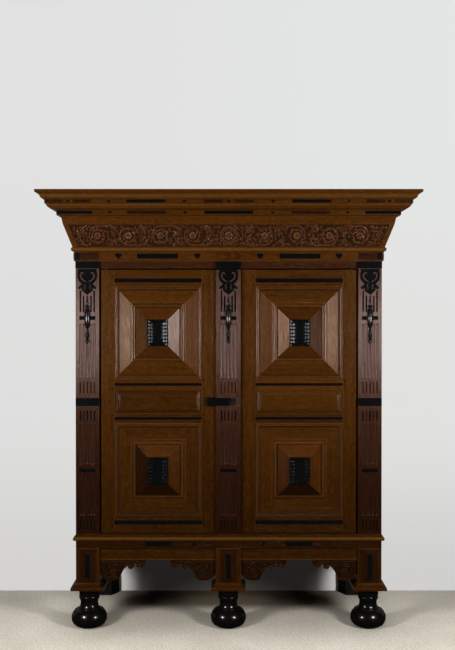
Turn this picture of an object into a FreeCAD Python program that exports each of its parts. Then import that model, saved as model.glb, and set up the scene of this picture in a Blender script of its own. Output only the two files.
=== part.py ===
import FreeCAD, Part
import math
import os

from FreeCAD import Vector

# Two-door oak and ebony cupboard. All lengths are in millimetres.
# It stands on z = 0 with its front towards -y, and x = 0 is the middle of the front.
# The origin lies under the middle of the whole box, cornice included.

# Heights of the courses, from the floor up
foot_height = 190.0
pad_height = 32.0
base_post_height = 169.0
base_frieze_height = 37.0
waist_height = 20.0
sill_height = 12.0
door_gap_bottom = 3.0
end_rail_height = 79.0
lower_panel_height = 452.0
lower_mid_rail_height = 46.0
middle_panel_height = 115.0
upper_mid_rail_height = 52.0
upper_panel_height = 448.0
door_gap_top = 7.0
lintel_height = 32.0
architrave_height = 48.0
bead_height = 21.0
carved_frieze_height = 107.0
plain_frieze_height = 30.0
frieze_cap_height = 10.0
lower_band_height = 25.0
ovolo_height = 25.0
upper_band_height = 19.0
cyma_height = 30.0
top_fillet_height = 12.0

# Widths across the front
side_pilaster_width = 113.0
door_side_gap = 8.0
outer_stile_width = 65.0
panel_width = 420.0
inner_stile_width = 70.0
centre_pilaster_width = 119.0
meeting_gap = 3.0

# Depths
carcase_depth = 625.0
crown_projection = 165.0
door_setback = 15.0
door_thickness = 32.0
pilaster_board_thickness = 20.0
front_post_depth = 60.0
rear_post_depth = 60.0
rear_post_width = 72.0
side_thickness = 40.0
lintel_setback = 8.0
lintel_depth = 72.0
cap_projection = 8.0

# Clearances
running_clearance = 0.1
seat_clearance = 0.3
plank_joint = 1.0

# Boards of the carcase
bottom_plank_count = 4
back_board_count = 5
back_board_thickness = 14.0
back_inset = 3.0
rear_rail_height = 60.0
rear_rail_thickness = 28.0
side_end_rail_height = 95.0
side_mid_rail_height = 90.0
side_panel_thickness = 12.0
side_panel_tongue = 8.0
side_panel_bevel = 34.0
side_panel_field = 5.0
carcase_top_thickness = 18.0
top_board_thickness = 18.0
top_plank_count = 4
shelf_thickness = 20.0
shelf_front_gap = 53.0
shelf_lower_height = 320.0
shelf_middle_height = 640.0
shelf_upper_height = 960.0
cleat_width = 20.0
cleat_height = 30.0

# Base
pad_overhang = 23.5
pad_fillet_height = 13.0
base_post_depth = 113.0
base_frieze_thickness = 30.0
base_side_thickness = 25.0
base_side_height = 92.0
waist_projection = 13.0
waist_seat_projection = 6.0
waist_depth = 60.0
tablet_width = 76.0
tablet_bevel = 9.0
tablet_projection = 6.0
tablet_gap = 4.0
apron_setback = 12.0
apron_thickness = 22.0
apron_rail_height = 60.0
apron_bead_radius = 3.0
bracket_thickness = 20.0
bracket_width = 222.0
bracket_drop = 99.0

# Turned front feet
foot_ball_radius = 86.0
foot_ball_height = 42.0
foot_base_radius = 50.0
foot_shoulder_radius = 70.0
foot_shoulder_height = 82.0
foot_groove_height = 4.0
foot_flare_radius = 53.0
foot_flare_height = 90.0
foot_neck_radius = 42.0
foot_neck_height = 102.0
foot_flange_radius = 49.0
foot_flange_height = 137.0
foot_tenon_radius = 14.0
foot_tenon_length = 25.0

# Block feet at the back
rear_foot_depth = 69.0
rear_foot_front_width = 103.0
rear_foot_back_width = 138.0

# Door joinery
tenon_thickness = 10.0
tenon_pivot_gap = 4.0
tenon_shoulder = 12.0
panel_board_thickness = 10.0
panel_board_setback = 9.0
panel_groove_depth = 8.0
ledge_setback = 7.0

# Raised fields of the door panels
outer_moulding_width = 22.0
outer_moulding_height = 12.0
first_field_width = 54.0
inner_moulding_width = 27.0
inner_moulding_height = 8.0
second_field_width = 57.0
pyramid_edge = 3.0
upper_first_rise = 15.5
upper_second_rise = 25.0
lower_first_rise = 1.5
lower_second_rise = 33.0
small_moulding_width = 14.0
small_moulding_height = 9.0
small_field_bevel = 30.0
small_field_rise = 9.0

# Ebony plaques on the raised fields
plaque_base_thickness = 5.0
plaque_frame_width = 27.0
plaque_frame_end_width = 19.0
plaque_frame_height = 7.0

# Ebony strips across the door rails
strip_projection = 2.5
end_strip_height = 19.0
end_strip_offset = 28.0
middle_strip_height = 13.0

# Pivots on which the doors hang
pivot_edge_distance = 20.0
pivot_radius = 6.0
pivot_let_in = 30.0
pivot_reach_bottom = 9.0
pivot_reach_top = 15.0
pivot_collar_radius = 12.0

# Pilaster ornament, measured from the middle of the centre band outwards
band_height = 38.5
band_projection = 3.0
band_margin = 22.0
upper_short_inlay_height = 56.0
lower_short_inlay_height = 50.0
foot_short_inlay_height = 49.0
upper_short_inlay_gap = 12.0
lower_short_inlay_gap = 18.0
upper_flute_length = 268.0
middle_flute_length = 194.0
lower_flute_length = 192.0
bar_height = 18.0
bar_gap = 18.0
bar_width = 77.0
flute_radius = 5.5
flute_depth = 4.0
flute_pitch = 17.0
flute_count = 5
short_inlay_width = 7.0
inlay_projection = 1.2
outer_reed_offset = 33.0
inner_reed_offset = 18.0
reed_width = 7.0
outer_reed_length = 103.0
inner_reed_length = 78.0
reed_gap = 20.0
cartouche_width = 92.0
cartouche_height = 124.0
cartouche_thickness = 5.0
cartouche_drop = 4.0

# Turned pendant on each pilaster, radii from the top down
pendant_top_drop = 132.0
pendant_stem_radius = 6.5
pendant_stem_length = 40.0
pendant_ring_radius = 13.5
pendant_ring_height = 17.0
pendant_body_radius = 14.0
pendant_body_length = 90.0
pendant_ball_radius = 7.5
pendant_knop_radius = 10.0
pendant_knop_length = 29.0
pendant_end_radius = 8.5
pendant_waist_radius = 4.0

# Sliding keyhole cover, lock and bolts
cover_width = 110.0
cover_travel = 50.0
cover_lip = 3.0
cover_lip_thickness = 3.6
cover_groove_depth = 10.0
cover_bevel = 4.0
keyhole_edge_distance = 38.0
keyhole_radius = 4.5
keyhole_slot_width = 5.0
keyhole_slot_length = 13.0
escutcheon_width = 34.0
escutcheon_height = 35.0
escutcheon_thickness = 1.5
lock_case_length = 104.0
lock_case_height = 105.0
lock_case_depth = 24.0
lock_case_wall = 2.0
lock_case_edge_gap = 2.0
lock_bolt_length = 60.0
lock_bolt_height = 22.0
lock_bolt_thickness = 12.0
lock_bolt_rise = 22.0
lock_bolt_throw = 15.0
lock_bolt_clearance = 0.3
key_pin_radius = 3.0
keeper_length = 27.0
keeper_wall = 3.0
keeper_edge_gap = 2.0
bolt_radius = 5.0
bolt_standoff = 8.0
bolt_length = 180.0
bolt_end_gap = 3.0
top_bolt_throw = 20.0
bottom_bolt_throw = 12.0
bolt_hole_clearance = 0.5
bolt_guide_width = 24.0
bolt_guide_height = 12.0
bolt_guide_depth = 15.0
bolt_guide_inset = 12.0
bolt_knob_length = 14.0

# Cornice: how far each member stands out from the carcase
cornice_inner = 25.0
architrave_step_height = 4.0
architrave_step = 3.0
architrave_projection = 7.7
bead_seat = 12.0
bead_projection = 19.6
frieze_bottom_projection = 12.6
frieze_top_projection = 52.0
plain_frieze_projection = 58.0
frieze_thickness = 23.0
frieze_cap_projection = 75.0
lower_band_projection = 78.0
ovolo_bottom_projection = 84.0
ovolo_top_projection = 122.0
upper_band_projection = 126.0
cyma_bottom_projection = 130.0
cyma_top_projection = 160.0
crown_inner_projection = 35.0

# Inlays of the base frieze and the cornice, as centres and lengths along the front
inlay_margin = 5.0
diamond_length = 26.0
base_bar_centre = 338.0
base_bar_length = 130.0
base_diamond_centre = 166.0
base_tablet_bar_width = 22.0
base_tablet_bar_length = 114.0
architrave_bar_centre = 342.0
architrave_bar_length = 196.0
shield_inner_centre = 151.0
shield_outer_centre = 530.0
shield_width = 35.0
band_diamond_inner = 207.0
band_diamond_outer = 562.0
band_diamond_end = 752.0
band_bar_centre = 388.0
band_bar_length = 182.0
lower_centre_bar_length = 228.0
lower_end_bar_centre = 730.0
lower_end_bar_length = 168.0
upper_red_inner_centre = 72.0
upper_red_inner_length = 88.0
upper_red_outer_centre = 688.0
upper_red_outer_length = 84.0
upper_red_end_centre = 817.0
upper_red_end_length = 80.0
side_inlay_centre = 170.0
side_inlay_length = 180.0

# Worked-out levels
z_pad = foot_height
z_base_post = z_pad + pad_height
z_base_frieze = z_base_post + base_post_height
z_waist = z_base_frieze + base_frieze_height
z_sill = z_waist + waist_height
z_floor = z_sill + sill_height
z_door = z_floor + door_gap_bottom
z_lower_panel = z_door + end_rail_height
z_lower_mid_rail = z_lower_panel + lower_panel_height
z_middle_panel = z_lower_mid_rail + lower_mid_rail_height
z_upper_mid_rail = z_middle_panel + middle_panel_height
z_upper_panel = z_upper_mid_rail + upper_mid_rail_height
z_top_rail = z_upper_panel + upper_panel_height
z_door_top = z_top_rail + end_rail_height
z_lintel = z_door_top + door_gap_top
z_carcase_top = z_lintel + lintel_height
z_bead = z_carcase_top + architrave_height
z_frieze = z_bead + bead_height
z_plain_frieze = z_frieze + carved_frieze_height
z_frieze_cap = z_plain_frieze + plain_frieze_height
z_lower_band = z_frieze_cap + frieze_cap_height
z_ovolo = z_lower_band + lower_band_height
z_upper_band = z_ovolo + ovolo_height
z_cyma = z_upper_band + upper_band_height
z_top_fillet = z_cyma + cyma_height
z_top = z_top_fillet + top_fillet_height

# Worked-out places across the front and in depth
centre_half = (centre_pilaster_width + meeting_gap) / 2
opening_inner = centre_half + inner_stile_width
opening_outer = opening_inner + panel_width
door_outer = opening_outer + outer_stile_width
post_inner = door_outer + door_side_gap
half_width = post_inner + side_pilaster_width
opening_centre = (opening_inner + opening_outer) / 2
column_left = -centre_half
column_right = column_left + centre_pilaster_width
column_middle = (column_left + column_right) / 2
side_column_middle = (post_inner + half_width) / 2
back_y = (carcase_depth + crown_projection) / 2
front_y = back_y - carcase_depth
door_y = front_y + door_setback
door_back_y = door_y + door_thickness
post_front_y = front_y + pilaster_board_thickness
post_back_y = post_front_y + front_post_depth
rear_post_y = back_y - rear_post_depth
back_board_y = back_y - back_inset - back_board_thickness
rear_rail_y = back_board_y - rear_rail_thickness
rear_post_inner = half_width - rear_post_width
side_inner = half_width - side_thickness
lintel_front_y = front_y + lintel_setback
lintel_back_y = lintel_front_y + lintel_depth
pivot_x = door_outer - pivot_edge_distance
pivot_y = door_y + door_thickness / 2
tenon_length = outer_stile_width - pivot_edge_distance - pivot_radius - tenon_pivot_gap
band_middle = z_middle_panel + middle_panel_height / 2
band_top = band_middle + band_height / 2
band_bottom = band_middle - band_height / 2
bolt_x = opening_inner - inner_stile_width / 2
bolt_y = door_back_y + bolt_standoff
keyhole_x = column_right - keyhole_edge_distance
cover_half_gap = (centre_pilaster_width - cover_width) / 2
cover_closed_left = column_left + cover_half_gap
cover_left = cover_closed_left - cover_travel


def box(x0, x1, y0, y1, z0, z1):
    """A box between two corners."""
    return Part.makeBox(x1 - x0, y1 - y0, z1 - z0, Vector(x0, y0, z0))


def outline_face(place, start, steps):
    """A flat face. Each step is (end,) for a line or (through, end) for an arc."""
    edges = []
    last = start
    for step in steps:
        if len(step) == 1:
            edges.append(Part.LineSegment(place(last), place(step[0])).toShape())
        else:
            arc = Part.Arc(place(last), place(step[0]), place(step[1]))
            edges.append(arc.toShape())
        last = step[-1]
    if place(last).distanceToPoint(place(start)) > 0.0001:
        edges.append(Part.LineSegment(place(last), place(start)).toShape())
    return Part.Face(Part.Wire(edges))


def lines(*points):
    """Steps of an outline that are all straight."""
    return [(point,) for point in points]


def curve(a, b, sag):
    """The step of an arc from a to b. It bows to the left of the way by sag times its length."""
    middle = ((a[0] + b[0]) / 2 - sag * (b[1] - a[1]), (a[1] + b[1]) / 2 + sag * (b[0] - a[0]))
    return [(middle, b)]


def turned(x, y, start, steps):
    """A solid turned about the upright line through x and y, from (radius, z) points."""
    face = outline_face(lambda p: Vector(x + p[0], y, p[1]), start, steps)
    return face.revolve(Vector(x, y, 0), Vector(0, 0, 1), 360)


def upright_pin(x, y, z0, z1, radius):
    """A round upright pin."""
    return Part.makeCylinder(radius, z1 - z0, Vector(x, y, z0))


def plate(y_back, thickness, start, steps):
    """A plate standing on the plane y_back, its outline given as (x, z) points."""
    face = outline_face(lambda p: Vector(p[0], y_back, p[1]), start, steps)
    return face.extrude(Vector(0, -thickness, 0))


def ruled(points_a, points_b):
    """A solid with flat sides between two flat outlines with as many points."""
    first = [Vector(*p) for p in points_a]
    last = [Vector(*p) for p in points_b]
    loops = [first, last]
    for i in range(len(first)):
        loops.append([first[i - 1], first[i], last[i], last[i - 1]])
    shell = Part.makeShell([Part.Face(Part.makePolygon(loop + loop[:1])) for loop in loops])
    shell.sewShape()
    solid = Part.makeSolid(shell)
    if solid.Volume < 0:
        solid.reverse()
    return solid


def rectangle(x, z, half_x, half_z, y):
    """The corners of a rectangle on a plane of constant y."""
    corners = ((-1, -1), (1, -1), (1, 1), (-1, 1))
    return [(x + i * half_x, y, z + k * half_z) for i, k in corners]


def frustum(x, z, half_x, half_z, y, inset, rise):
    """A flat pyramid on the plane y that rises towards the front."""
    low = rectangle(x, z, half_x, half_z, y)
    high = rectangle(x, z, half_x - inset, half_z - inset, y - rise)
    return ruled(low, high)


def planks(count, x0, x1, y0, y1, z0, z1, along):
    """A row of boards laid along one axis with a fine joint between them."""
    boards = []
    low, high = (x0, x1) if along == "x" else (y0, y1)
    width = (high - low - (count - 1) * plank_joint) / count
    for i in range(count):
        start = low + i * (width + plank_joint)
        if along == "x":
            boards.append(box(start, start + width, y0, y1, z0, z1))
        else:
            boards.append(box(x0, x1, start, start + width, z0, z1))
    return boards


def mitred_side(start, steps, a, b, inward, y, depth):
    """One side of a frame from corner a to corner b, given as (x, z) points."""
    run = Vector(b[0] - a[0], 0, b[1] - a[1])
    along = Vector(run).normalize()
    across = Vector(inward[0], 0, inward[1])
    corner = Vector(a[0], y, a[1])

    def place(p):
        return corner + across * p[0] + Vector(0, -p[1], 0)

    bar = outline_face(place, start, steps).extrude(run)
    plan = [corner, corner + run, corner + run + (across - along) * depth,
            corner + (across + along) * depth]
    lift = Vector(0, depth, 0)
    outline = [point + lift for point in plan]
    wedge = Part.Face(Part.makePolygon(outline + outline[:1])).extrude(Vector(0, -3 * depth, 0))
    return bar.common(wedge).Solids[0]


def mitred_frame(x, z, half_x, half_z, y, start, steps, width):
    """Four mouldings mitred round a rectangle, whose profile is (inward, height)."""
    left, right = x - half_x, x + half_x
    low, high = z - half_z, z + half_z
    runs = (((left, low), (left, high), (1, 0)), ((left, high), (right, high), (0, -1)),
            ((right, high), (right, low), (-1, 0)), ((right, low), (left, low), (0, 1)))
    return [mitred_side(start, steps, a, b, inward, y, width + 1) for a, b, inward in runs]


def carcase_run(start, steps):
    """A moulding mitred round the front and both sides. Its profile is (outward, z)."""
    reach = 2 * crown_projection
    inset = half_width / 2
    bounds = (-reach, z_top + reach)
    front = outline_face(lambda p: Vector(-half_width - reach, front_y - p[0], p[1]), start, steps)
    front = front.extrude(Vector(2 * (half_width + reach), 0, 0))
    plan = [(-half_width - reach, front_y - reach), (half_width + reach, front_y - reach),
            (half_width - inset, front_y + inset), (-half_width + inset, front_y + inset)]
    pieces = [front.common(plan_prism(plan, *bounds)).Solids[0]]
    for side in (-1, 1):
        def place(p):
            return Vector(side * (half_width + p[0]), front_y - reach, p[1])

        bar = outline_face(place, start, steps)
        bar = bar.extrude(Vector(0, back_y - front_y + reach, 0))
        plan = [(side * (half_width + reach), front_y - reach),
                (side * (half_width + reach), back_y),
                (side * (half_width - inset), back_y),
                (side * (half_width - inset), front_y + inset)]
        pieces.append(bar.common(plan_prism(plan, *bounds)).Solids[0])
    return pieces


def plan_prism(plan, z0, z1):
    """An upright prism on a plan given as (x, y) points."""
    points = [Vector(x, y, z0) for x, y in plan]
    return Part.Face(Part.makePolygon(points + points[:1])).extrude(Vector(0, 0, z1 - z0))


def mirrored(shape):
    """The same shape on the other side of the cupboard."""
    return shape.mirror(Vector(0, 0, 0), Vector(1, 0, 0))


def both_sides(shapes):
    """Shapes made for the right-hand side, and their mirror images."""
    return shapes + [mirrored(shape) for shape in shapes]


def save(name, shapes):
    """Write one node, as its separate solids."""
    solids = []
    for shape in shapes:
        solids.extend(shape.Solids)
    for solid in solids:
        if not solid.isValid() or solid.Volume <= 0:
            raise ValueError("bad solid in " + name)
    whole = solids[0] if len(solids) == 1 else Part.makeCompound(solids)
    whole.exportStep("parts/" + name + ".step")


# Base -------------------------------------------------------------------

def front_foot(x, y):
    """A turned foot: a squashed ball under a flared neck, with a tenon on top."""
    steps = lines((foot_base_radius, 0))
    steps += [((foot_ball_radius, foot_ball_height), (foot_shoulder_radius, foot_shoulder_height))]
    steps += lines((foot_flare_radius, foot_shoulder_height + foot_groove_height),
                   (foot_flare_radius, foot_flare_height))
    steps += [((foot_neck_radius, foot_neck_height), (foot_flange_radius, foot_flange_height))]
    steps += lines((foot_flange_radius, foot_height), (foot_tenon_radius, foot_height),
                   (foot_tenon_radius, foot_height + foot_tenon_length),
                   (0, foot_height + foot_tenon_length))
    return turned(x, y, (0, 0), steps)


def rear_foot():
    """A sawn block foot whose inner side is splayed."""
    plan = [(half_width, back_y - rear_foot_depth), (half_width, back_y),
            (half_width - rear_foot_back_width, back_y),
            (half_width - rear_foot_front_width, back_y - rear_foot_depth)]
    return plan_prism(plan, 0, z_base_frieze)


def pad_side(place_at, middle, half):
    """The outline of a moulded pad seen square on, swept across the pad."""
    foot = half + pad_overhang
    low = z_pad + pad_fillet_height

    def place(p):
        return place_at(middle + p[0], p[1])

    steps = lines((foot, z_pad), (foot, low)) + curve((foot, low), (half, z_base_post), 0.15)
    steps += lines((-half, z_base_post)) + curve((-half, z_base_post), (-foot, low), 0.15)
    return outline_face(place, (-foot, z_pad), steps)


def base_pad(x0, x1):
    """A moulded pad between a post and its foot, bored for the foot's tenon."""
    x = (x0 + x1) / 2
    y = front_y + base_post_depth / 2
    half_y = base_post_depth / 2
    across = pad_side(lambda u, v: Vector(u, y - base_post_depth, v), x, (x1 - x0) / 2)
    along = pad_side(lambda u, v: Vector(x - base_post_depth, u, v), y, half_y)
    pad = across.extrude(Vector(0, 2 * base_post_depth, 0))
    pad = pad.common(along.extrude(Vector(2 * base_post_depth, 0, 0)))
    bore = upright_pin(x, y, z_pad, z_pad + foot_tenon_length + seat_clearance,
                       foot_tenon_radius + running_clearance)
    return pad.cut(bore)


def base_post(x0, x1):
    """A base post with its raised tablet, as two solids."""
    post = box(x0, x1, front_y, front_y + base_post_depth, z_base_post, z_base_frieze)
    tablet = frustum((x0 + x1) / 2, z_base_post + base_post_height / 2, tablet_width / 2,
                     base_post_height / 2 - tablet_gap, front_y, tablet_bevel, tablet_projection)
    return [post, tablet]


def column_spans():
    """The left and right edges of the three columns of the front."""
    return [(-half_width, -post_inner), (column_left, column_right), (post_inner, half_width)]


def apron_rail(x0, x1):
    """The rail under a bay, with a bead along its lower edge."""
    y = front_y + apron_setback
    low = z_base_frieze - apron_rail_height
    r = apron_bead_radius

    def place(p):
        return Vector(x0, y - p[0], low + p[1])

    steps = lines((0, 0)) + [((r, r), (0, 2 * r))]
    steps += lines((0, apron_rail_height), (-apron_thickness, apron_rail_height))
    return outline_face(place, (-apron_thickness, 0), steps).extrude(Vector(x1 - x0, 0, 0))


def apron_bracket(x, side):
    """A scrolled bracket in the corner between a post and the apron rail."""
    top = z_base_frieze - apron_rail_height
    y = front_y + apron_setback + apron_thickness

    def place(p):
        return Vector(x + side * p[0] * bracket_width, y, top - p[1] * bracket_drop)

    steps = [((0.12, 0.93), (0.32, 1.0)), ((0.4, 0.96), (0.44, 0.85)), ((0.5, 0.56), (0.61, 0.28)),
             ((0.68, 0.45), (0.74, 0.24))]
    steps += lines((0.77, 0.14)) + [((0.88, 0.37), (1.0, 0.06))] + lines((1.0, 0), (0, 0))
    return outline_face(place, (0, 0.65), steps).extrude(Vector(0, -bracket_thickness, 0))


def diamond(x, y, z, length, height, projection):
    """A lozenge inlay on a plane that faces the front."""
    points = lines((x, z - height / 2), (x + length / 2, z), (x, z + height / 2))
    return plate(y, projection, (x - length / 2, z), points)


def front_bar(x, y, length, z0, z1, projection):
    """A straight inlay on a plane that faces the front."""
    return box(x - length / 2, x + length / 2, y - projection, y, z0, z1)


def base_inlays():
    """Ebony bars and lozenges of the base frieze, and the bars of the tablets."""
    low = z_base_frieze + inlay_margin + inlay_margin
    high = z_waist - inlay_margin
    pieces = []
    for side in (-1, 1):
        pieces.append(front_bar(side * base_bar_centre, front_y, base_bar_length, low, high,
                                inlay_projection))
        pieces.append(diamond(side * base_diamond_centre, front_y, (low + high) / 2,
                              diamond_length, high - low, inlay_projection))
    middle = z_base_post + base_post_height / 2
    for x0, x1 in column_spans():
        pieces.append(front_bar((x0 + x1) / 2, front_y - tablet_projection,
                                base_tablet_bar_width, middle - base_tablet_bar_length / 2,
                                middle + base_tablet_bar_length / 2, inlay_projection))
    return pieces


def make_base():
    """Feet, pads, posts, aprons, frieze and waist moulding."""
    y = front_y + base_post_depth / 2
    names = ("foot_front_left", "foot_front_centre", "foot_front_right")
    for name, (x0, x1) in zip(names, column_spans()):
        save(name, [front_foot((x0 + x1) / 2, y)])
    save("foot_rear_left", [mirrored(rear_foot())])
    save("foot_rear_right", [rear_foot()])
    save("base_pads", [base_pad(x0, x1) for x0, x1 in column_spans()])
    posts = []
    for x0, x1 in column_spans():
        posts += base_post(x0, x1)
    save("base_posts", posts)
    frieze = lines((0, z_base_frieze), (0, z_waist), (-base_frieze_thickness, z_waist))
    save("base_frieze", carcase_run((-base_frieze_thickness, z_base_frieze), frieze))
    side = box(half_width - base_side_thickness, half_width, front_y + base_post_depth,
               back_y - rear_foot_depth, z_base_frieze - base_side_height, z_base_frieze)
    save("base_sides", both_sides([side]))
    inner = half_width - rear_foot_back_width
    edge = half_width - waist_depth
    y = back_y - base_side_thickness
    save("base_back_rail", [box(-inner, inner, y, back_y, z_base_frieze - base_side_height,
                                z_base_frieze),
                            box(-edge, edge, y, back_y, z_base_frieze, z_sill)])
    bays = ((-post_inner, column_left), (column_right, post_inner))
    save("apron_rails", [apron_rail(x0, x1) for x0, x1 in bays])
    brackets = []
    for x0, x1 in bays:
        brackets += [apron_bracket(x0, 1), apron_bracket(x1, -1)]
    save("apron_brackets", brackets)
    save("base_inlays", base_inlays())
    torus = lines((waist_seat_projection, z_waist))
    torus += [((waist_projection, z_waist + waist_height / 2), (waist_seat_projection, z_sill))]
    torus += lines((-waist_depth, z_sill))
    save("waist_moulding", carcase_run((-waist_depth, z_waist), torus))


# Carcase ----------------------------------------------------------------

def pivot_socket(x, z0, z1):
    """The hole in which a door pivot turns."""
    return upright_pin(x, pivot_y, z0, z1, pivot_radius + running_clearance)


def bottom_boards():
    """The sill and the floor boards behind it."""
    sill = box(-half_width, half_width, front_y, post_back_y, z_sill, z_floor)
    for x in (-pivot_x, pivot_x):
        sill = sill.cut(pivot_socket(x, z_floor - pivot_reach_bottom - seat_clearance, z_floor))
    hole = upright_pin(bolt_x, bolt_y, z_sill, z_floor, bolt_radius + bolt_hole_clearance)
    boards = planks(bottom_plank_count, -half_width, half_width, post_back_y + plank_joint,
                    back_y, z_sill, z_floor, "y")
    return [sill.cut(hole)] + boards


def lintel():
    """The rail over the doors, with the sockets of the pivots and of the top bolt."""
    rail = box(-post_inner, post_inner, lintel_front_y, lintel_back_y, z_lintel, z_carcase_top)
    top = z_door_top + door_gap_top + pivot_reach_top + seat_clearance
    for x in (-pivot_x, pivot_x):
        rail = rail.cut(pivot_socket(x, z_lintel, top))
    reach = z_door_top - bolt_end_gap + top_bolt_throw + seat_clearance
    return rail.cut(upright_pin(bolt_x, bolt_y, z_lintel, reach, bolt_radius + bolt_hole_clearance))


def side_levels():
    """The lowest and highest points of the three rails of a side."""
    middle = (z_floor + z_carcase_top) / 2
    return [(z_floor, z_floor + side_end_rail_height),
            (middle - side_mid_rail_height / 2, middle + side_mid_rail_height / 2),
            (z_carcase_top - side_end_rail_height, z_carcase_top)]


def side_panel(z0, z1):
    """A fielded panel of the right-hand side, held by tongues in the rails."""
    middle_x = half_width - side_thickness / 2
    x0 = middle_x - side_panel_thickness / 2
    y0, y1 = post_back_y, rear_post_y
    reach = side_panel_tongue - seat_clearance
    board = box(x0, x0 + side_panel_thickness, y0 + seat_clearance, y1 - seat_clearance,
                z0 - reach, z1 + reach)
    face = x0 + side_panel_thickness
    low = [(face, y, z) for y, z in ((y0 + 1, z0 + 1), (y1 - 1, z0 + 1),
                                     (y1 - 1, z1 - 1), (y0 + 1, z1 - 1))]
    b = side_panel_bevel
    high = [(face + side_panel_field, y, z) for y, z in
            ((y0 + b, z0 + b), (y1 - b, z0 + b), (y1 - b, z1 - b), (y0 + b, z1 - b))]
    return board.fuse(ruled(low, high)).removeSplitter()


def side_rails():
    """Three rails of the right-hand side, grooved for the panels."""
    middle_x = half_width - side_thickness / 2
    half = side_panel_thickness / 2 + seat_clearance
    rails = []
    levels = side_levels()
    for z0, z1 in levels:
        rail = box(side_inner, half_width, post_back_y, rear_post_y, z0, z1)
        if z0 > z_floor:
            rail = rail.cut(box(middle_x - half, middle_x + half, post_back_y, rear_post_y,
                                z0, z0 + side_panel_tongue))
        if z1 < z_carcase_top:
            rail = rail.cut(box(middle_x - half, middle_x + half, post_back_y, rear_post_y,
                                z1 - side_panel_tongue, z1))
        rails.append(rail)
    return rails


def shelf(height):
    """A shelf notched round the rear posts."""
    z = z_floor + height
    edge = side_inner - plank_joint
    front = door_back_y + shelf_front_gap
    board = box(-edge, edge, front, back_board_y - seat_clearance, z, z + shelf_thickness)
    notch = box(rear_post_inner - seat_clearance, half_width, rear_post_y - seat_clearance,
                back_y, z, z + shelf_thickness)
    return board.cut(notch).cut(mirrored(notch))


def shelf_cleat(height):
    """The bearer under the right-hand end of a shelf."""
    z = z_floor + height
    return box(side_inner - cleat_width, side_inner, post_back_y, rear_post_y, z - cleat_height, z)


def back_boards():
    """Upright boards, their two rails and the board that closes the cornice."""
    pieces = planks(back_board_count, -rear_post_inner, rear_post_inner, back_board_y,
                    back_board_y + back_board_thickness, z_floor, z_carcase_top, "x")
    for z in (z_floor, z_carcase_top - rear_rail_height):
        pieces.append(box(-rear_post_inner, rear_post_inner, rear_rail_y, back_board_y, z,
                          z + rear_rail_height))
    pieces.append(cornice_back())
    return pieces


def cornice_back():
    """The board that closes the cornice behind, cut to the slope of its frieze."""
    low = half_width - cornice_inner - seat_clearance
    middle = half_width + frieze_bottom_projection - frieze_thickness - seat_clearance
    high = half_width + crown_inner_projection - seat_clearance
    right = [(low, z_carcase_top + carcase_top_thickness), (low, z_frieze), (middle, z_frieze),
             (high, z_lower_band), (high, z_top - top_board_thickness)]
    left = [(-x, z) for x, z in reversed(right)]
    return plate(back_y, back_board_thickness, right[0], lines(*right[1:], *left))


def make_carcase():
    """Posts, rails, panels, boards and shelves."""
    save("bottom_boards", bottom_boards())
    post = box(post_inner, half_width, post_front_y, post_back_y, z_floor, z_carcase_top)
    save("front_posts", both_sides([post]))
    rear = box(rear_post_inner, half_width, rear_post_y, back_y, z_floor, z_carcase_top)
    save("rear_posts", both_sides([rear]))
    save("side_rails", both_sides(side_rails()))
    levels = side_levels()
    panels = [side_panel(levels[i][1], levels[i + 1][0]) for i in range(2)]
    save("side_panels", both_sides(panels))
    save("back_boards", back_boards())
    heights = (shelf_lower_height, shelf_middle_height, shelf_upper_height)
    for name, height in zip(("shelf_lower", "shelf_middle", "shelf_upper"), heights):
        save(name, [shelf(height)])
    save("shelf_cleats", both_sides([shelf_cleat(height) for height in heights]))
    save("lintel", [lintel()])
    edge = half_width - cornice_inner - seat_clearance
    save("carcase_top", planks(top_plank_count, -edge, edge,
                               front_y + cornice_inner + seat_clearance, back_y,
                               z_carcase_top, z_carcase_top + carcase_top_thickness, "y"))


# Pilasters --------------------------------------------------------------

def pilaster_levels():
    """Named levels of the pilaster's ornament, worked outwards from its middle band."""
    at = {}
    at["upper_short"] = band_top + band_margin
    at["upper_flutes"] = at["upper_short"] + upper_short_inlay_height + upper_short_inlay_gap
    at["upper_bar"] = at["upper_flutes"] + upper_flute_length + bar_gap
    at["reeds"] = at["upper_bar"] + bar_height + reed_gap
    at["lower_short"] = band_bottom - band_margin - lower_short_inlay_height
    at["middle_flutes"] = at["lower_short"] - lower_short_inlay_gap - middle_flute_length
    at["lower_bar"] = at["middle_flutes"] - bar_gap - bar_height
    at["lower_flutes"] = at["lower_bar"] - bar_gap - lower_flute_length
    at["foot_short"] = at["lower_flutes"] - bar_gap - foot_short_inlay_height
    return at


def flute_places(x):
    """The middles of the flutes of a pilaster that stands at x."""
    return [x + (i - (flute_count - 1) / 2) * flute_pitch for i in range(flute_count)]


def flute(x, z, length):
    """The round-ended groove that one flute takes out of the board."""
    y = front_y + flute_depth - flute_radius
    low = z + flute_radius
    high = z + length - flute_radius
    groove = upright_pin(x, y, low, high, flute_radius)
    for end in (low, high):
        groove = groove.fuse(Part.makeSphere(flute_radius, Vector(x, y, end)))
    return groove


def pilaster_flutes(x):
    """All flutes of one pilaster. The pendant covers the top of the middle one."""
    at = pilaster_levels()
    middle = (flute_count - 1) // 2
    pendant_end = z_lintel - pendant_top_drop - pendant_length()
    grooves = []
    for i, place in enumerate(flute_places(x)):
        top = at["upper_flutes"] + upper_flute_length
        if i == middle:
            top = min(top, pendant_end - bar_gap)
        grooves.append(flute(place, at["upper_flutes"], top - at["upper_flutes"]))
        grooves.append(flute(place, at["middle_flutes"], middle_flute_length))
        grooves.append(flute(place, at["lower_flutes"], lower_flute_length))
    return grooves


def pilaster_board(x0, x1, z0, z1, thickness):
    """A fluted board on the front plane."""
    board = box(x0, x1, front_y, front_y + thickness, z0, z1)
    return board.cut(pilaster_flutes((x0 + x1) / 2))


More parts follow.
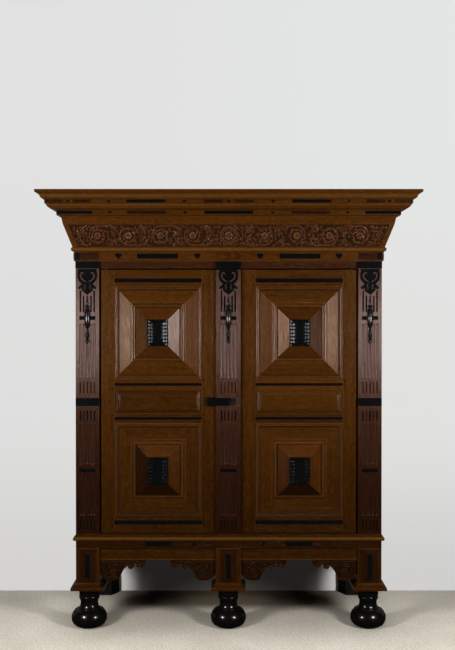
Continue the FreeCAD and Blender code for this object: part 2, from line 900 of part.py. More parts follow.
def pilaster_inlays(x0, x1, with_band):
    """Bars, reeds and short inlays of one pilaster, and its full-width band."""
    x = (x0 + x1) / 2
    at = pilaster_levels()
    pieces = [front_bar(x, front_y, bar_width, at["lower_bar"], at["lower_bar"] + bar_height,
                        inlay_projection)]
    inner = pendant_body_radius + seat_clearance
    for x_low, x_high in ((x - bar_width / 2, x - inner), (x + inner, x + bar_width / 2)):
        pieces.append(box(x_low, x_high, front_y - inlay_projection, front_y, at["upper_bar"],
                          at["upper_bar"] + bar_height))
    reeds = ((outer_reed_offset, outer_reed_length), (inner_reed_offset, inner_reed_length))
    for offset, length in reeds:
        for side in (-1, 1):
            pieces.append(front_bar(x + side * offset, front_y, reed_width, at["reeds"],
                                    at["reeds"] + length, inlay_projection))
    shorts = (("upper_short", upper_short_inlay_height),
              ("lower_short", lower_short_inlay_height), ("foot_short", foot_short_inlay_height))
    for key, height in shorts:
        for place in flute_places(x):
            pieces.append(front_bar(place, front_y, short_inlay_width, at[key],
                                    at[key] + height, inlay_projection))
    if with_band:
        pieces.append(front_bar(x, front_y, x1 - x0, band_bottom, band_top, band_projection))
    return pieces


def cartouche(x):
    """A flat ebony shield of scrolls that ends in a leaf."""
    top = z_lintel - cartouche_drop
    half = cartouche_width / 2
    h = cartouche_height

    def at(u, v):
        return (x + u * half, top - v * h)

    steps = lines(at(0.95, 0.0))
    steps += [(at(1.0, 0.18), at(0.72, 0.5)), (at(0.74, 0.62), at(0.9, 0.68)),
              (at(0.62, 0.7), at(0.45, 0.6)), (at(0.3, 0.7), at(0.42, 0.84)),
              (at(0.25, 0.96), at(0.0, 1.0)), (at(-0.25, 0.96), at(-0.42, 0.84)),
              (at(-0.3, 0.7), at(-0.45, 0.6)), (at(-0.62, 0.7), at(-0.9, 0.68)),
              (at(-0.74, 0.62), at(-0.72, 0.5)), (at(-1.0, 0.18), at(-0.95, 0.0))]
    shield = plate(front_y, cartouche_thickness, at(-0.95, 0.0), steps)
    for side in (-1, 1):
        eye = Part.makeCylinder(half * 0.17, 2 * cartouche_thickness,
                                Vector(x + side * half * 0.5, front_y + cartouche_thickness,
                                       top - h * 0.2), Vector(0, -1, 0))
        shield = shield.cut(eye)
    return shield


def pendant_length():
    """The whole length of a pendant."""
    balls = 2 * pendant_ball_radius + 2 * pendant_end_radius
    return (pendant_stem_length + pendant_ring_height + pendant_body_length + balls
            + pendant_knop_length)


def pendant(x):
    """A split turning glued to the pilaster, worked from its top down."""
    top = z_lintel - pendant_top_drop
    ring = top - pendant_stem_length
    body = ring - pendant_ring_height
    ball = body - pendant_body_length
    knop = ball - 2 * pendant_ball_radius
    end = knop - pendant_knop_length
    tip = end - 2 * pendant_end_radius
    waist = pendant_waist_radius
    steps = [((pendant_end_radius, end - pendant_end_radius), (waist, end)),
             ((pendant_knop_radius, (knop + end) / 2), (waist, knop)),
             ((pendant_ball_radius, knop + pendant_ball_radius), (waist, ball)),
             ((pendant_body_radius, (ball + body) / 2), (waist, body))]
    steps += [((pendant_ring_radius, (body + ring) / 2), (waist, ring))]
    steps += [((pendant_stem_radius, (ring + top) / 2), (waist, top))]
    steps += lines((0, top))
    turning = turned(x, front_y, (0, tip), steps)
    half = box(x - 2 * pendant_body_radius, x + 2 * pendant_body_radius,
               front_y - 2 * pendant_body_radius, front_y, tip, top)
    return turning.common(half)


def cap_block(x0, x1, y_back):
    """The ebony block that crowns a pilaster."""
    return box(x0, x1, front_y - cap_projection, y_back, z_lintel, z_carcase_top)


def make_side_pilasters():
    """The two pilasters that stand on the corner posts, and all three caps."""
    x = side_column_middle
    board = pilaster_board(post_inner, half_width, z_floor, z_lintel, pilaster_board_thickness)
    save("pilaster_boards", both_sides([board]))
    side_cap = cap_block(post_inner, half_width, post_front_y)
    centre_cap = cap_block(column_left, column_right, lintel_front_y)
    save("pilaster_caps", both_sides([side_cap]) + [centre_cap])
    save("side_cartouches", both_sides([cartouche(x)]))
    save("side_pendants", both_sides([pendant(x)]))
    save("side_inlays", both_sides(pilaster_inlays(post_inner, half_width, True)))


# Cornice ----------------------------------------------------------------

def cornice_architrave():
    """The stepped fascia and the half-round bead on it."""
    step = z_carcase_top + architrave_step_height
    fascia = lines((architrave_step, z_carcase_top), (architrave_step, step),
                   (architrave_projection, step), (architrave_projection, z_bead),
                   (-cornice_inner, z_bead))
    bead = lines((bead_seat, z_bead))
    bead += [((bead_projection, (z_bead + z_frieze) / 2), (bead_seat, z_frieze))]
    bead += lines((-cornice_inner, z_frieze))
    return (carcase_run((-cornice_inner, z_carcase_top), fascia)
            + carcase_run((-cornice_inner, z_bead), bead))


def cornice_frieze():
    """The sloping frieze with its plain border and the small hollow on top."""
    bottom = frieze_bottom_projection - frieze_thickness
    border = (plain_frieze_projection, z_frieze_cap)
    steps = lines((frieze_bottom_projection, z_frieze), (frieze_top_projection, z_plain_frieze),
                  border)
    steps += curve(border, (frieze_cap_projection, z_lower_band), 0.12)
    steps += lines((crown_inner_projection, z_lower_band))
    return carcase_run((bottom, z_frieze), steps)


def crown_moulding():
    """The upper cornice: two bands, an ovolo, a cyma and the top fillet."""
    ovolo = (ovolo_bottom_projection, z_ovolo)
    cyma = (cyma_bottom_projection, z_cyma)
    middle = ((cyma_bottom_projection + cyma_top_projection) / 2, (z_cyma + z_top_fillet) / 2)
    steps = lines((lower_band_projection, z_lower_band), (lower_band_projection, z_ovolo), ovolo)
    steps += curve(ovolo, (ovolo_top_projection, z_upper_band), -0.18)
    steps += lines((upper_band_projection, z_upper_band), (upper_band_projection, z_cyma),
                   cyma)
    steps += curve(cyma, middle, -0.15)
    steps += curve(middle, (cyma_top_projection, z_top_fillet), 0.15)
    steps += lines((crown_projection, z_top_fillet), (crown_projection, z_top),
                   (crown_inner_projection, z_top))
    return carcase_run((crown_inner_projection, z_lower_band), steps)


def side_bar(out, y, length, z0, z1):
    """A straight inlay on the right-hand side of the cornice."""
    x = half_width + out
    return box(x, x + inlay_projection, y - length / 2, y + length / 2, z0, z1)


def shield(x, y, z0, z1):
    """A downward-pointing shield of the fascia."""
    half = shield_width / 2
    shoulder = z1 - (z1 - z0) / 3
    points = lines((x + half, z1), (x + half, shoulder), (x, z0), (x - half, shoulder))
    return plate(y, inlay_projection, (x - half, z1), points)


def cornice_black_inlays():
    """Ebony bars, lozenges and shields of the fascia and of the two bands."""
    pieces = []
    y_fascia = front_y - architrave_projection
    low = z_carcase_top + architrave_step_height + 2 * inlay_margin
    high = z_bead - 2 * inlay_margin
    y_lower = front_y - lower_band_projection
    y_upper = front_y - upper_band_projection
    lower = (z_lower_band + inlay_margin, z_ovolo - inlay_margin)
    upper = (z_upper_band + inlay_margin / 2, z_cyma - inlay_margin / 2)
    pieces.append(front_bar(0, y_lower, lower_centre_bar_length, *lower, inlay_projection))
    pieces.append(diamond(0, y_upper, sum(upper) / 2, diamond_length, upper[1] - upper[0],
                          inlay_projection))
    for side in (-1, 1):
        pieces.append(front_bar(side * architrave_bar_centre, y_fascia, architrave_bar_length,
                                low, high, inlay_projection))
        for x in (shield_inner_centre, shield_outer_centre):
            pieces.append(shield(side * x, y_fascia, low, high))
        pieces.append(front_bar(side * lower_end_bar_centre, y_lower, lower_end_bar_length,
                                *lower, inlay_projection))
        pieces.append(front_bar(side * band_bar_centre, y_upper, band_bar_length, *upper,
                                inlay_projection))
        for x in (band_diamond_inner, band_diamond_outer):
            pieces.append(diamond(side * x, y_lower, sum(lower) / 2, diamond_length,
                                  lower[1] - lower[0], inlay_projection))
        for x in (band_diamond_inner, band_diamond_outer, band_diamond_end):
            pieces.append(diamond(side * x, y_upper, sum(upper) / 2, diamond_length,
                                  upper[1] - upper[0], inlay_projection))
    sides = []
    for y in (-side_inlay_centre, side_inlay_centre):
        sides.append(side_bar(architrave_projection, y, side_inlay_length, low, high))
        sides.append(side_bar(upper_band_projection, y, side_inlay_length, *upper))
    return pieces + both_sides(sides)


def cornice_red_inlays():
    """Red-brown bars of the two bands and of the ends of the fascia."""
    y_lower = front_y - lower_band_projection
    y_upper = front_y - upper_band_projection
    y_fascia = front_y - architrave_projection
    lower = (z_lower_band + inlay_margin, z_ovolo - inlay_margin)
    upper = (z_upper_band + inlay_margin / 2, z_cyma - inlay_margin / 2)
    fascia = (z_carcase_top + architrave_step_height + inlay_margin, z_bead - inlay_margin)
    uppers = ((upper_red_inner_centre, upper_red_inner_length),
              (upper_red_outer_centre, upper_red_outer_length),
              (upper_red_end_centre, upper_red_end_length))
    pieces = []
    for x0, x1 in column_spans():
        pieces.append(front_bar((x0 + x1) / 2, y_fascia, x1 - x0, *fascia, inlay_projection))
    for side in (-1, 1):
        pieces.append(front_bar(side * band_bar_centre, y_lower, band_bar_length, *lower,
                                inlay_projection))
        for x, length in uppers:
            pieces.append(front_bar(side * x, y_upper, length, *upper, inlay_projection))
    sides = [side_bar(lower_band_projection, y, side_inlay_length, *lower)
             for y in (-side_inlay_centre, side_inlay_centre)]
    return pieces + both_sides(sides)


def make_cornice():
    """The whole entablature."""
    save("cornice_architrave", cornice_architrave())
    save("cornice_frieze", cornice_frieze())
    save("crown_moulding", crown_moulding())
    save("cornice_black_inlays", cornice_black_inlays())
    save("cornice_red_inlays", cornice_red_inlays())
    edge = half_width + crown_inner_projection - seat_clearance
    save("top_boards", planks(top_plank_count, -edge, edge,
                              front_y - crown_inner_projection + seat_clearance, back_y,
                              z_top - top_board_thickness, z_top, "y"))


# Doors ------------------------------------------------------------------

def rail_levels():
    """The lowest and highest points of the four rails of a door."""
    return [(z_door, z_lower_panel), (z_lower_mid_rail, z_middle_panel),
            (z_upper_mid_rail, z_upper_panel), (z_top_rail, z_door_top)]


def opening_levels():
    """The lowest and highest points of the three panel openings of a door."""
    return [(z_lower_panel, z_lower_mid_rail), (z_middle_panel, z_upper_mid_rail),
            (z_upper_panel, z_top_rail)]


def tenon(x0, x1, z0, z1, room):
    """A tenon between x0 and x1, or its mortise when room is left round it."""
    y = door_back_y - tenon_shoulder
    return box(x0, x1, y - tenon_thickness - room, y + room, z0 + tenon_shoulder - room,
               z1 - tenon_shoulder + room)


def panel_groove(x0, x1, z0, z1):
    """The groove that holds the tongue of a panel board."""
    y = door_y + panel_board_setback
    return box(x0, x1, y - running_clearance, y + panel_board_thickness + running_clearance,
               z0, z1)


def door_frame(x_outer, x_inner, outer_edge, inner_edge):
    """Two stiles and four rails. The opening lies between x_outer and x_inner."""
    side = 1 if x_inner > x_outer else -1
    reach = side * panel_groove_depth
    pieces = []
    for edge, x, into in ((outer_edge, x_outer, -reach), (inner_edge, x_inner, reach)):
        stile = box(min(edge, x), max(edge, x), door_y, door_back_y, z_door, z_door_top)
        tenon_end = x + math.copysign(tenon_length + seat_clearance, into)
        for z0, z1 in rail_levels():
            stile = stile.cut(tenon(min(x, tenon_end), max(x, tenon_end), z0, z1,
                                    running_clearance))
        for z0, z1 in opening_levels():
            stile = stile.cut(panel_groove(min(x, x + into), max(x, x + into),
                                           z0 - panel_groove_depth, z1 + panel_groove_depth))
        pieces.append(stile)
    low, high = min(x_outer, x_inner), max(x_outer, x_inner)
    for z0, z1 in rail_levels():
        rail = box(low, high, door_y, door_back_y, z0, z1)
        rail = rail.fuse(tenon(low - tenon_length, high + tenon_length, z0, z1, 0))
        if z0 > z_door:
            rail = rail.cut(panel_groove(low - panel_groove_depth, high + panel_groove_depth,
                                         z0, z0 + panel_groove_depth))
        if z1 < z_door_top:
            rail = rail.cut(panel_groove(low - panel_groove_depth, high + panel_groove_depth,
                                         z1 - panel_groove_depth, z1))
        pieces.append(rail)
    return pieces


def bore_stile(pieces, x):
    """Take the holes of the pivots out of the hinge stile."""
    stile = pieces[0]
    for z0, z1 in ((z_door, z_door + pivot_let_in), (z_door_top - pivot_let_in, z_door_top)):
        stile = stile.cut(pivot_socket(x, z0, z1))
    return [stile] + pieces[1:]


def panel_board(x, z0, z1):
    """The tongued board of one panel, with the ledge that its mouldings stand on."""
    tongue = panel_groove_depth - seat_clearance
    y = door_y + panel_board_setback
    half = panel_width / 2
    board = box(x - half - tongue, x + half + tongue, y, y + panel_board_thickness,
                z0 - tongue, z1 + tongue)
    inner = half - running_clearance
    ledge = box(x - inner, x + inner, door_y + ledge_setback, y, z0 + running_clearance,
                z1 - running_clearance)
    return board.fuse(ledge)


def high_panel(x, z0, z1, first_rise, second_rise):
    """A panel board with its sloping field, and the pyramid that stands on it."""
    z = (z0 + z1) / 2
    half_x, half_z = panel_width / 2, (z1 - z0) / 2
    ledge_y = door_y + ledge_setback
    w = outer_moulding_width
    field = frustum(x, z, half_x - w, half_z - w, ledge_y, first_field_width, first_rise)
    board = panel_board(x, z0, z1).fuse(field).removeSplitter()
    w += first_field_width + inner_moulding_width
    y = ledge_y - first_rise
    edge = ruled(rectangle(x, z, half_x - w, half_z - w, y),
                 rectangle(x, z, half_x - w, half_z - w, y - pyramid_edge))
    pyramid = frustum(x, z, half_x - w, half_z - w, y - pyramid_edge, second_field_width,
                      second_rise)
    return [board, edge.fuse(pyramid).removeSplitter()]


def low_panel(x, z0, z1):
    """The small panel between the two large ones."""
    z = (z0 + z1) / 2
    w = small_moulding_width
    field = frustum(x, z, panel_width / 2 - w, (z1 - z0) / 2 - w, door_y + ledge_setback,
                    small_field_bevel, small_field_rise)
    return panel_board(x, z0, z1).fuse(field).removeSplitter()


def bolection(width, height):
    """The profile of a panel moulding: a bead at the edge and a hollow inside it."""
    steps = lines((0, 0.8 * height))
    steps += [((0.2 * width, height), (0.4 * width, 0.8 * height))]
    steps += lines((0.4 * width, 0.6 * height))
    steps += [((0.62 * width, 0.32 * height), (0.9 * width, 0.22 * height))]
    steps += lines((width, 0.22 * height), (width, 0))
    return (0, 0), steps


def double_bead(width, height):
    """The profile of the moulding between the two fields: a bead on each side."""
    steps = lines((0, 0.3 * height))
    steps += [((0.18 * width, height), (0.38 * width, 0.4 * height))]
    steps += lines((0.46 * width, 0.4 * height))
    steps += [((0.68 * width, 1.2 * height), (0.92 * width, 0.5 * height))]
    steps += lines((width, 0.4 * height), (width, 0))
    return (0, 0), steps


def panel_mouldings(x, z0, z1, first_rise):
    """The outer and inner mouldings of one large panel."""
    z = (z0 + z1) / 2
    half_x, half_z = panel_width / 2, (z1 - z0) / 2
    y = door_y + ledge_setback
    outer = bolection(outer_moulding_width, outer_moulding_height)
    inner = double_bead(inner_moulding_width, inner_moulding_height)
    w = outer_moulding_width + first_field_width
    return (mitred_frame(x, z, half_x, half_z, y, *outer, outer_moulding_width)
            + mitred_frame(x, z, half_x - w, half_z - w, y - first_rise, *inner,
                           inner_moulding_width))


def small_moulding(x, z0, z1):
    """The moulding round the small panel."""
    profile = bolection(small_moulding_width, small_moulding_height)
    return mitred_frame(x, (z0 + z1) / 2, panel_width / 2, (z1 - z0) / 2,
                        door_y + ledge_setback, *profile, small_moulding_width)


def plaque(x, z0, z1, first_rise, second_rise):
    """An ebony plaque: a base and four ridged sides mitred round its field."""
    z = (z0 + z1) / 2
    inset = outer_moulding_width + first_field_width + inner_moulding_width + second_field_width
    half_x, half_z = panel_width / 2 - inset, (z1 - z0) / 2 - inset
    y = door_y + ledge_setback - first_rise - pyramid_edge - second_rise
    base = box(x - half_x, x + half_x, y - plaque_base_thickness, y, z - half_z, z + half_z)
    face_y = y - plaque_base_thickness
    w, h = plaque_frame_width, plaque_frame_height
    profile = ((0, 0), (0, 0.4 * h), (0.12 * w, 0.9 * h), (0.3 * w, h), (0.42 * w, 0.6 * h),
               (0.54 * w, 0.6 * h), (0.68 * w, 0.85 * h), (0.84 * w, 0.6 * h), (w, 0.25 * h),
               (w, 0))
    squeeze = plaque_frame_end_width / plaque_frame_width
    ends = [[(x + i * (half_x - u), face_y - v, z + k * (half_z - u * squeeze))
             for u, v in profile] for i, k in ((-1, -1), (1, -1), (1, 1), (-1, 1))]
    return [base] + [ruled(ends[i], ends[(i + 1) % 4]) for i in range(4)]


def door_strips(x):
    """The ebony strips across the rails of one door."""
    levels = rail_levels()
    middles = [(levels[0][1] - end_strip_offset, end_strip_height),
               (sum(levels[1]) / 2, middle_strip_height),
               (sum(levels[2]) / 2, middle_strip_height),
               (levels[3][0] + end_strip_offset, end_strip_height)]
    return [front_bar(x, door_y, panel_width, z - h / 2, z + h / 2, strip_projection)
            for z, h in middles]


def door_pivots(x):
    """The iron pins that a door turns on. The lower one has a collar on it."""
    low = upright_pin(x, pivot_y, z_floor - pivot_reach_bottom, z_door + pivot_let_in,
                      pivot_radius)
    collar = upright_pin(x, pivot_y, z_floor + seat_clearance, z_door, pivot_collar_radius)
    high = upright_pin(x, pivot_y, z_door_top - pivot_let_in, z_lintel + pivot_reach_top,
                       pivot_radius)
    return [low.fuse(collar), high]


def make_door(name, side):
    """Panels, mouldings, plaques and strips of one door."""
    x = side * opening_centre
    lower, middle, upper = opening_levels()
    panels = high_panel(x, *lower, lower_first_rise, lower_second_rise)
    panels += high_panel(x, *upper, upper_first_rise, upper_second_rise)
    panels.append(low_panel(x, *middle))
    save(name + "_panels", panels)
    mouldings = panel_mouldings(x, *lower, lower_first_rise)
    mouldings += panel_mouldings(x, *upper, upper_first_rise)
    mouldings += small_moulding(x, *middle)
    save(name + "_mouldings", mouldings)
    plaques = plaque(x, *lower, lower_first_rise, lower_second_rise)
    plaques += plaque(x, *upper, upper_first_rise, upper_second_rise)
    save(name + "_plaques", plaques)
    save(name + "_strips", door_strips(x))


# Keyhole cover, lock and bolts --------------------------------------------

def keyhole(y0, y1):
    """The cutter of the keyhole between two depths."""
    eye = Part.makeCylinder(keyhole_radius, y1 - y0, Vector(keyhole_x, y0, band_middle),
                            Vector(0, 1, 0))
    half = keyhole_slot_width / 2
    slot = box(keyhole_x - half, keyhole_x + half, y0, y1, band_middle - keyhole_slot_length,
               band_middle)
    return eye.fuse(slot)


def cover_slot(x0, x1):
    """The undercut channel in which the keyhole cover slides."""
    floor_y = front_y + cover_groove_depth
    room = running_clearance
    lip_y = floor_y - cover_lip_thickness - 2 * room
    mouth = box(x0, x1, front_y, floor_y, band_bottom - room, band_top + room)
    undercut = box(x0, x1, lip_y, floor_y, band_bottom - cover_lip - room,
                   band_top + cover_lip + room)
    return mouth.fuse(undercut)


def escutcheon_body(room):
    """The iron plate round the keyhole, or its seat when room is left round it."""
    floor_y = front_y + cover_groove_depth
    half_x = escutcheon_width / 2 + room
    half_z = escutcheon_height / 2 + room
    return box(keyhole_x - half_x, keyhole_x + half_x, floor_y, floor_y + escutcheon_thickness,
               band_middle - half_z, band_middle + half_z)


def centre_pilaster():
    """The middle pilaster board, with the cover's channel and the keyhole."""
    board = pilaster_board(column_left, column_right, z_door, z_door_top, door_setback)
    board = board.cut(cover_slot(column_left, column_right))
    board = board.cut(escutcheon_body(running_clearance))
    return board.cut(keyhole(front_y, door_y))


def keyhole_cover():
    """The sliding ebony block, drawn aside so that the keyhole shows."""
    x0, x1 = cover_left, cover_left + cover_width
    floor_y = front_y + cover_groove_depth
    back = floor_y - running_clearance
    front = front_y - band_projection
    lip = box(x0, x1, back - cover_lip_thickness, back, band_bottom - cover_lip,
              band_top + cover_lip)
    plan = lines((x1, back), (x1, front + cover_bevel), (x1 - cover_bevel, front),
                 (x0 + cover_bevel, front), (x0, front + cover_bevel))
    face = outline_face(lambda p: Vector(p[0], p[1], band_bottom + running_clearance),
                        (x0, back), plan)
    return face.extrude(Vector(0, 0, band_height - 2 * running_clearance)).fuse(lip)


def lock_levels():
    """The lowest and highest points of the lock bolt."""
    middle = band_middle + lock_bolt_rise
    return middle - lock_bolt_height / 2, middle + lock_bolt_height / 2


def lock_bolt_box(x0, x1, room):
    """The bar of the lock bolt, or the slot for it when room is left round it."""
    z0, z1 = lock_levels()
    y = door_back_y + (lock_case_depth - lock_bolt_thickness) / 2
    return box(x0, x1, y - room, y + lock_bolt_thickness + room, z0 - room, z1 + room)


def lock_case():
    """The iron box of the lock behind the meeting stile, with the pin for its key."""
    x1 = column_right - lock_case_edge_gap
    x0 = x1 - lock_case_length
    y0, y1 = door_back_y, door_back_y + lock_case_depth
    z0, z1 = band_middle - lock_case_height / 2, band_middle + lock_case_height / 2
    w = lock_case_wall
    case = box(x0, x1, y0, y1, z0, z1).cut(box(x0 + w, x1 - w, y0, y1 - w, z0 + w, z1 - w))
    case = case.cut(lock_bolt_box(x1 - w, x1, lock_bolt_clearance))
    pin = Part.makeCylinder(key_pin_radius, lock_case_depth - w, Vector(keyhole_x, y0, band_middle),
                            Vector(0, 1, 0))
    return case.fuse(pin)


def lock_bolt():
    """The bolt, drawn back so that its end is flush with the case."""
    x1 = column_right - lock_case_edge_gap
    return lock_bolt_box(x1 - lock_bolt_length, x1, 0)


def lock_keeper():
    """The iron keeper on the other door that the lock bolt shoots into."""
    x0 = centre_half + keeper_edge_gap
    x1 = x0 + keeper_length
    z0, z1 = lock_levels()
    w = keeper_wall + bolt_hole_clearance
    block = box(x0, x1, door_back_y, door_back_y + lock_case_depth, z0 - w, z1 + w)
    return block.cut(lock_bolt_box(x0, x1 - keeper_wall, bolt_hole_clearance))


def bolt_guide(z):
    """A bored block that guides an upright bolt on the door's back."""
    half = bolt_guide_width / 2
    block = box(bolt_x - half, bolt_x + half, door_back_y, door_back_y + bolt_guide_depth, z,
                z + bolt_guide_height)
    return block.cut(upright_pin(bolt_x, bolt_y, z, z + bolt_guide_height,
                                 bolt_radius + running_clearance))


def upright_bolt(z0, z1):
    """A round bolt with the knob that a hand moves it by."""
    bar = upright_pin(bolt_x, bolt_y, z0, z1, bolt_radius)
    knob = Part.makeCylinder(bolt_radius, bolt_knob_length,
                             Vector(bolt_x, bolt_y, (z0 + z1) / 2), Vector(0, 1, 0))
    return bar.fuse(knob)


def make_doors():
    """Both doors with their pivots, the middle pilaster, the lock and the bolts."""
    left = door_frame(-opening_outer, -opening_inner, -door_outer, column_right)
    left = bore_stile(left, -pivot_x)
    left[1] = left[1].cut(keyhole(door_y, door_back_y))
    save("door_left_frame", left)
    right = door_frame(opening_outer, opening_inner, door_outer, centre_half)
    save("door_right_frame", bore_stile(right, pivot_x))
    make_door("door_left", -1)
    make_door("door_right", 1)
    save("door_left_pivots", door_pivots(-pivot_x))
    save("centre_pilaster", [centre_pilaster()])
    save("centre_cartouche", [cartouche(column_middle)])
    save("centre_pendant", [pendant(column_middle)])
    save("centre_inlays", pilaster_inlays(column_left, column_right, False))
    save("escutcheon", [escutcheon_body(0).cut(keyhole(front_y, door_y))])
    save("keyhole_cover", [keyhole_cover()])
    save("lock_case", [lock_case()])
    save("lock_bolt", [lock_bolt()])
    top_z1 = z_door_top - bolt_end_gap
    bottom_z0 = z_door + bolt_end_gap
    guides = [top_z1 - bolt_length + bolt_guide_inset,
              top_z1 - top_bolt_throw - bolt_guide_inset - bolt_guide_height,
              bottom_z0 + bolt_guide_inset + bottom_bolt_throw,
              bottom_z0 + bolt_length - bolt_guide_inset - bolt_guide_height]
    irons = door_pivots(pivot_x) + [lock_keeper()] + [bolt_guide(z) for z in guides]
    save("door_right_irons", irons)
    save("top_bolt", [upright_bolt(top_z1 - bolt_length, top_z1)])
    save("bottom_bolt", [upright_bolt(bottom_z0, bottom_z0 + bolt_length)])


os.makedirs("parts", exist_ok=True)
make_base()
make_carcase()
make_side_pilasters()
make_cornice()
make_doors()
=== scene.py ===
import logging
import math
import random
from collections.abc import Callable, Sequence
from dataclasses import dataclass, replace
from enum import Enum

import bmesh
import bpy
from mathutils import Matrix, Vector


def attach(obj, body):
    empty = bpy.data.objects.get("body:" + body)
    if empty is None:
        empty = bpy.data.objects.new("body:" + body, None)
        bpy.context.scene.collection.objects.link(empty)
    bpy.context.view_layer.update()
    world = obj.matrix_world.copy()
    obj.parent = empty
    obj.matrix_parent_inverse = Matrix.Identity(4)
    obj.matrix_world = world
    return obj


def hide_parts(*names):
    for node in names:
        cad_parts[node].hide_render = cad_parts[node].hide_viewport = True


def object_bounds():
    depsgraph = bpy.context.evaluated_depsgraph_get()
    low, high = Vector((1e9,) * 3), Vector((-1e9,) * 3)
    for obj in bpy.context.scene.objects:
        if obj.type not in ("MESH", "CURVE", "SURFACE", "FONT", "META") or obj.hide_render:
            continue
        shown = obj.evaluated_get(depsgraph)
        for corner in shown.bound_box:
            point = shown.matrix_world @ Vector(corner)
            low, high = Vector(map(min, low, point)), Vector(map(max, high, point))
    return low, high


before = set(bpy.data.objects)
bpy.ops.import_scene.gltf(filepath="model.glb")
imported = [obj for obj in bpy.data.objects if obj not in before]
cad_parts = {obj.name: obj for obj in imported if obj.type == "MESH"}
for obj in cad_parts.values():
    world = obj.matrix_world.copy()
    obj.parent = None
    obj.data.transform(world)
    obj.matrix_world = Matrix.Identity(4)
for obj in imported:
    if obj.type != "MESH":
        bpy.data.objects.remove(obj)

CAD_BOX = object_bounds()
LOG = logging.getLogger("kas")
MM = 0.001  # lengths are in millimetres but where Blender takes them, in metres
QUARTER = math.pi / 2

Object = bpy.types.Object
Mesh = bpy.types.Mesh
Node = bpy.types.Node
Material = bpy.types.Material
NodeTree = bpy.types.NodeTree
Socket = bpy.types.NodeSocket
Sockets = bpy.types.bpy_prop_collection
Pair = tuple[float, float]
Pairs = tuple[Pair, ...]
Rows = tuple[tuple[float, ...], ...]
Point = tuple[float, float, float]
Colour = tuple[float, float, float]


class Body(str, Enum):
    """The bodies that pieces ride on."""

    CARCASE = "carcase"
    DOOR_LEFT = "door_left"
    DOOR_RIGHT = "door_right"
    COVER = "keyhole_cover"
    LOCK_BOLT = "lock_bolt"
    TOP_BOLT = "top_bolt"
    BOTTOM_BOLT = "bottom_bolt"


class Slot(str, Enum):
    """The finishes that the cupboard's record names."""

    OAK = "oak"
    RED_OAK = "red_oak"
    EBONY = "ebony"
    TURNING = "black_turning"
    IRON = "iron"
    INNER_OAK = "inner_oak"
    RED_INLAY = "red_inlay"


class Grain(Enum):
    """How the grain lies in a piece."""

    ALONG = "along each board's longest side"
    RUN = "round the front and the sides, as a moulding runs"
    MITRE = "along each member of a mitred frame"
    UPRIGHT = "upright"
    ACROSS = "across the front"


# ---------- modelling


def mm(*values: float) -> tuple[float, ...]:
    """Millimetres as metres."""
    return tuple(v * MM for v in values)


def alone(piece: Object) -> Object:
    """Make a piece the only one that is selected.

    Args:
        piece: The object to work on.

    Returns:
        The same object.
    """
    if bpy.context.mode != "OBJECT":
        bpy.ops.object.mode_set(mode="OBJECT")
    bpy.ops.object.select_all(action="DESELECT")
    piece.select_set(True)
    bpy.context.view_layer.objects.active = piece
    return piece


def settle(piece: Object) -> Object:
    """Put a piece's place, turn and scale into its mesh.

    Args:
        piece: The object.

    Returns:
        The same object.
    """
    alone(piece)
    bpy.ops.object.transform_apply(location=True, rotation=True, scale=True)
    return piece


def added(kind: str, **settings: object) -> Object:
    """Add a primitive shape.

    Args:
        kind: Which one, such as cube.
        **settings: Its settings.

    Returns:
        The new object, with its place in its mesh.
    """
    bpy.ops.object.select_all(action="DESELECT")
    getattr(bpy.ops.mesh, f"primitive_{kind}_add")(**settings)
    return settle(bpy.context.object)


def linked(name: str, data: bpy.types.ID) -> Object:
    """Put a mesh, curve, lamp or camera into the scene.

    Args:
        name: The object's name.
        data: What it shows.

    Returns:
        The new object.
    """
    piece = bpy.data.objects.new(name, data)
    bpy.context.scene.collection.objects.link(piece)
    return piece


def block(low: Sequence[float], high: Sequence[float]) -> Object:
    """Add a block between two corners.

    Args:
        low: The lowest corner.
        high: The highest corner.

    Returns:
        The new object.
    """
    size = [(b - a) * MM for a, b in zip(low, high)]
    middle = [(a + b) / 2 * MM for a, b in zip(low, high)]
    return added("cube", size=1, location=middle, scale=size)


def join(pieces: Sequence[Object]) -> Object:
    """Join several objects into the first one.

    Args:
        pieces: The objects.

    Returns:
        The first of them.
    """
    alone(pieces[0])
    for piece in pieces:
        piece.select_set(True)
    if len(pieces) > 1:
        bpy.ops.object.join()
    return bpy.context.object


def modify(piece: Object, kind: str, **settings: object) -> Object:
    """Add a modifier and apply it.

    Args:
        piece: The object to change.
        kind: The modifier's type.
        **settings: Its settings.

    Returns:
        The same object.
    """
    alone(piece)
    modifier = piece.modifiers.new(kind.title(), kind)
    for name, value in settings.items():
        setattr(modifier, name, value)
    bpy.ops.object.modifier_apply(modifier=modifier.name)
    return piece


def soften(piece: Object, width: float = 0.9, steps: int = 2, sharp: float = 38,
           clamp: bool = True) -> Object:
    """Round the arrises of a piece a little, as a hand plane leaves them.

    Args:
        piece: The object to change.
        width: How much of each face goes.
        steps: How many faces make the round.
        sharp: The least angle of an arris, in degrees.
        clamp: Whether short edges hold the width back.

    Returns:
        The same object.
    """
    alone(piece)
    shade(sharp)
    return modify(piece, "BEVEL", width=width * MM, segments=steps, limit_method="ANGLE",
        angle_limit=math.radians(sharp), harden_normals=True, use_clamp_overlap=clamp,
        miter_outer="MITER_ARC")


def editing(piece: Object, mode: str = "FACE") -> bmesh.types.BMesh:
    """Open a piece in edit mode with nothing selected.

    Args:
        piece: The object to edit.
        mode: The kind of element that is selected.

    Returns:
        The mesh under edit.
    """
    alone(piece)
    bpy.ops.object.mode_set(mode="EDIT")
    bpy.ops.mesh.select_mode(type=mode)
    bpy.ops.mesh.select_all(action="DESELECT")
    mesh = bmesh.from_edit_mesh(piece.data)
    mesh.faces.ensure_lookup_table()
    return mesh


def edit_whole(piece: Object) -> None:
    """Open a piece in edit mode with everything selected."""
    editing(piece, "VERT")
    select_whole()


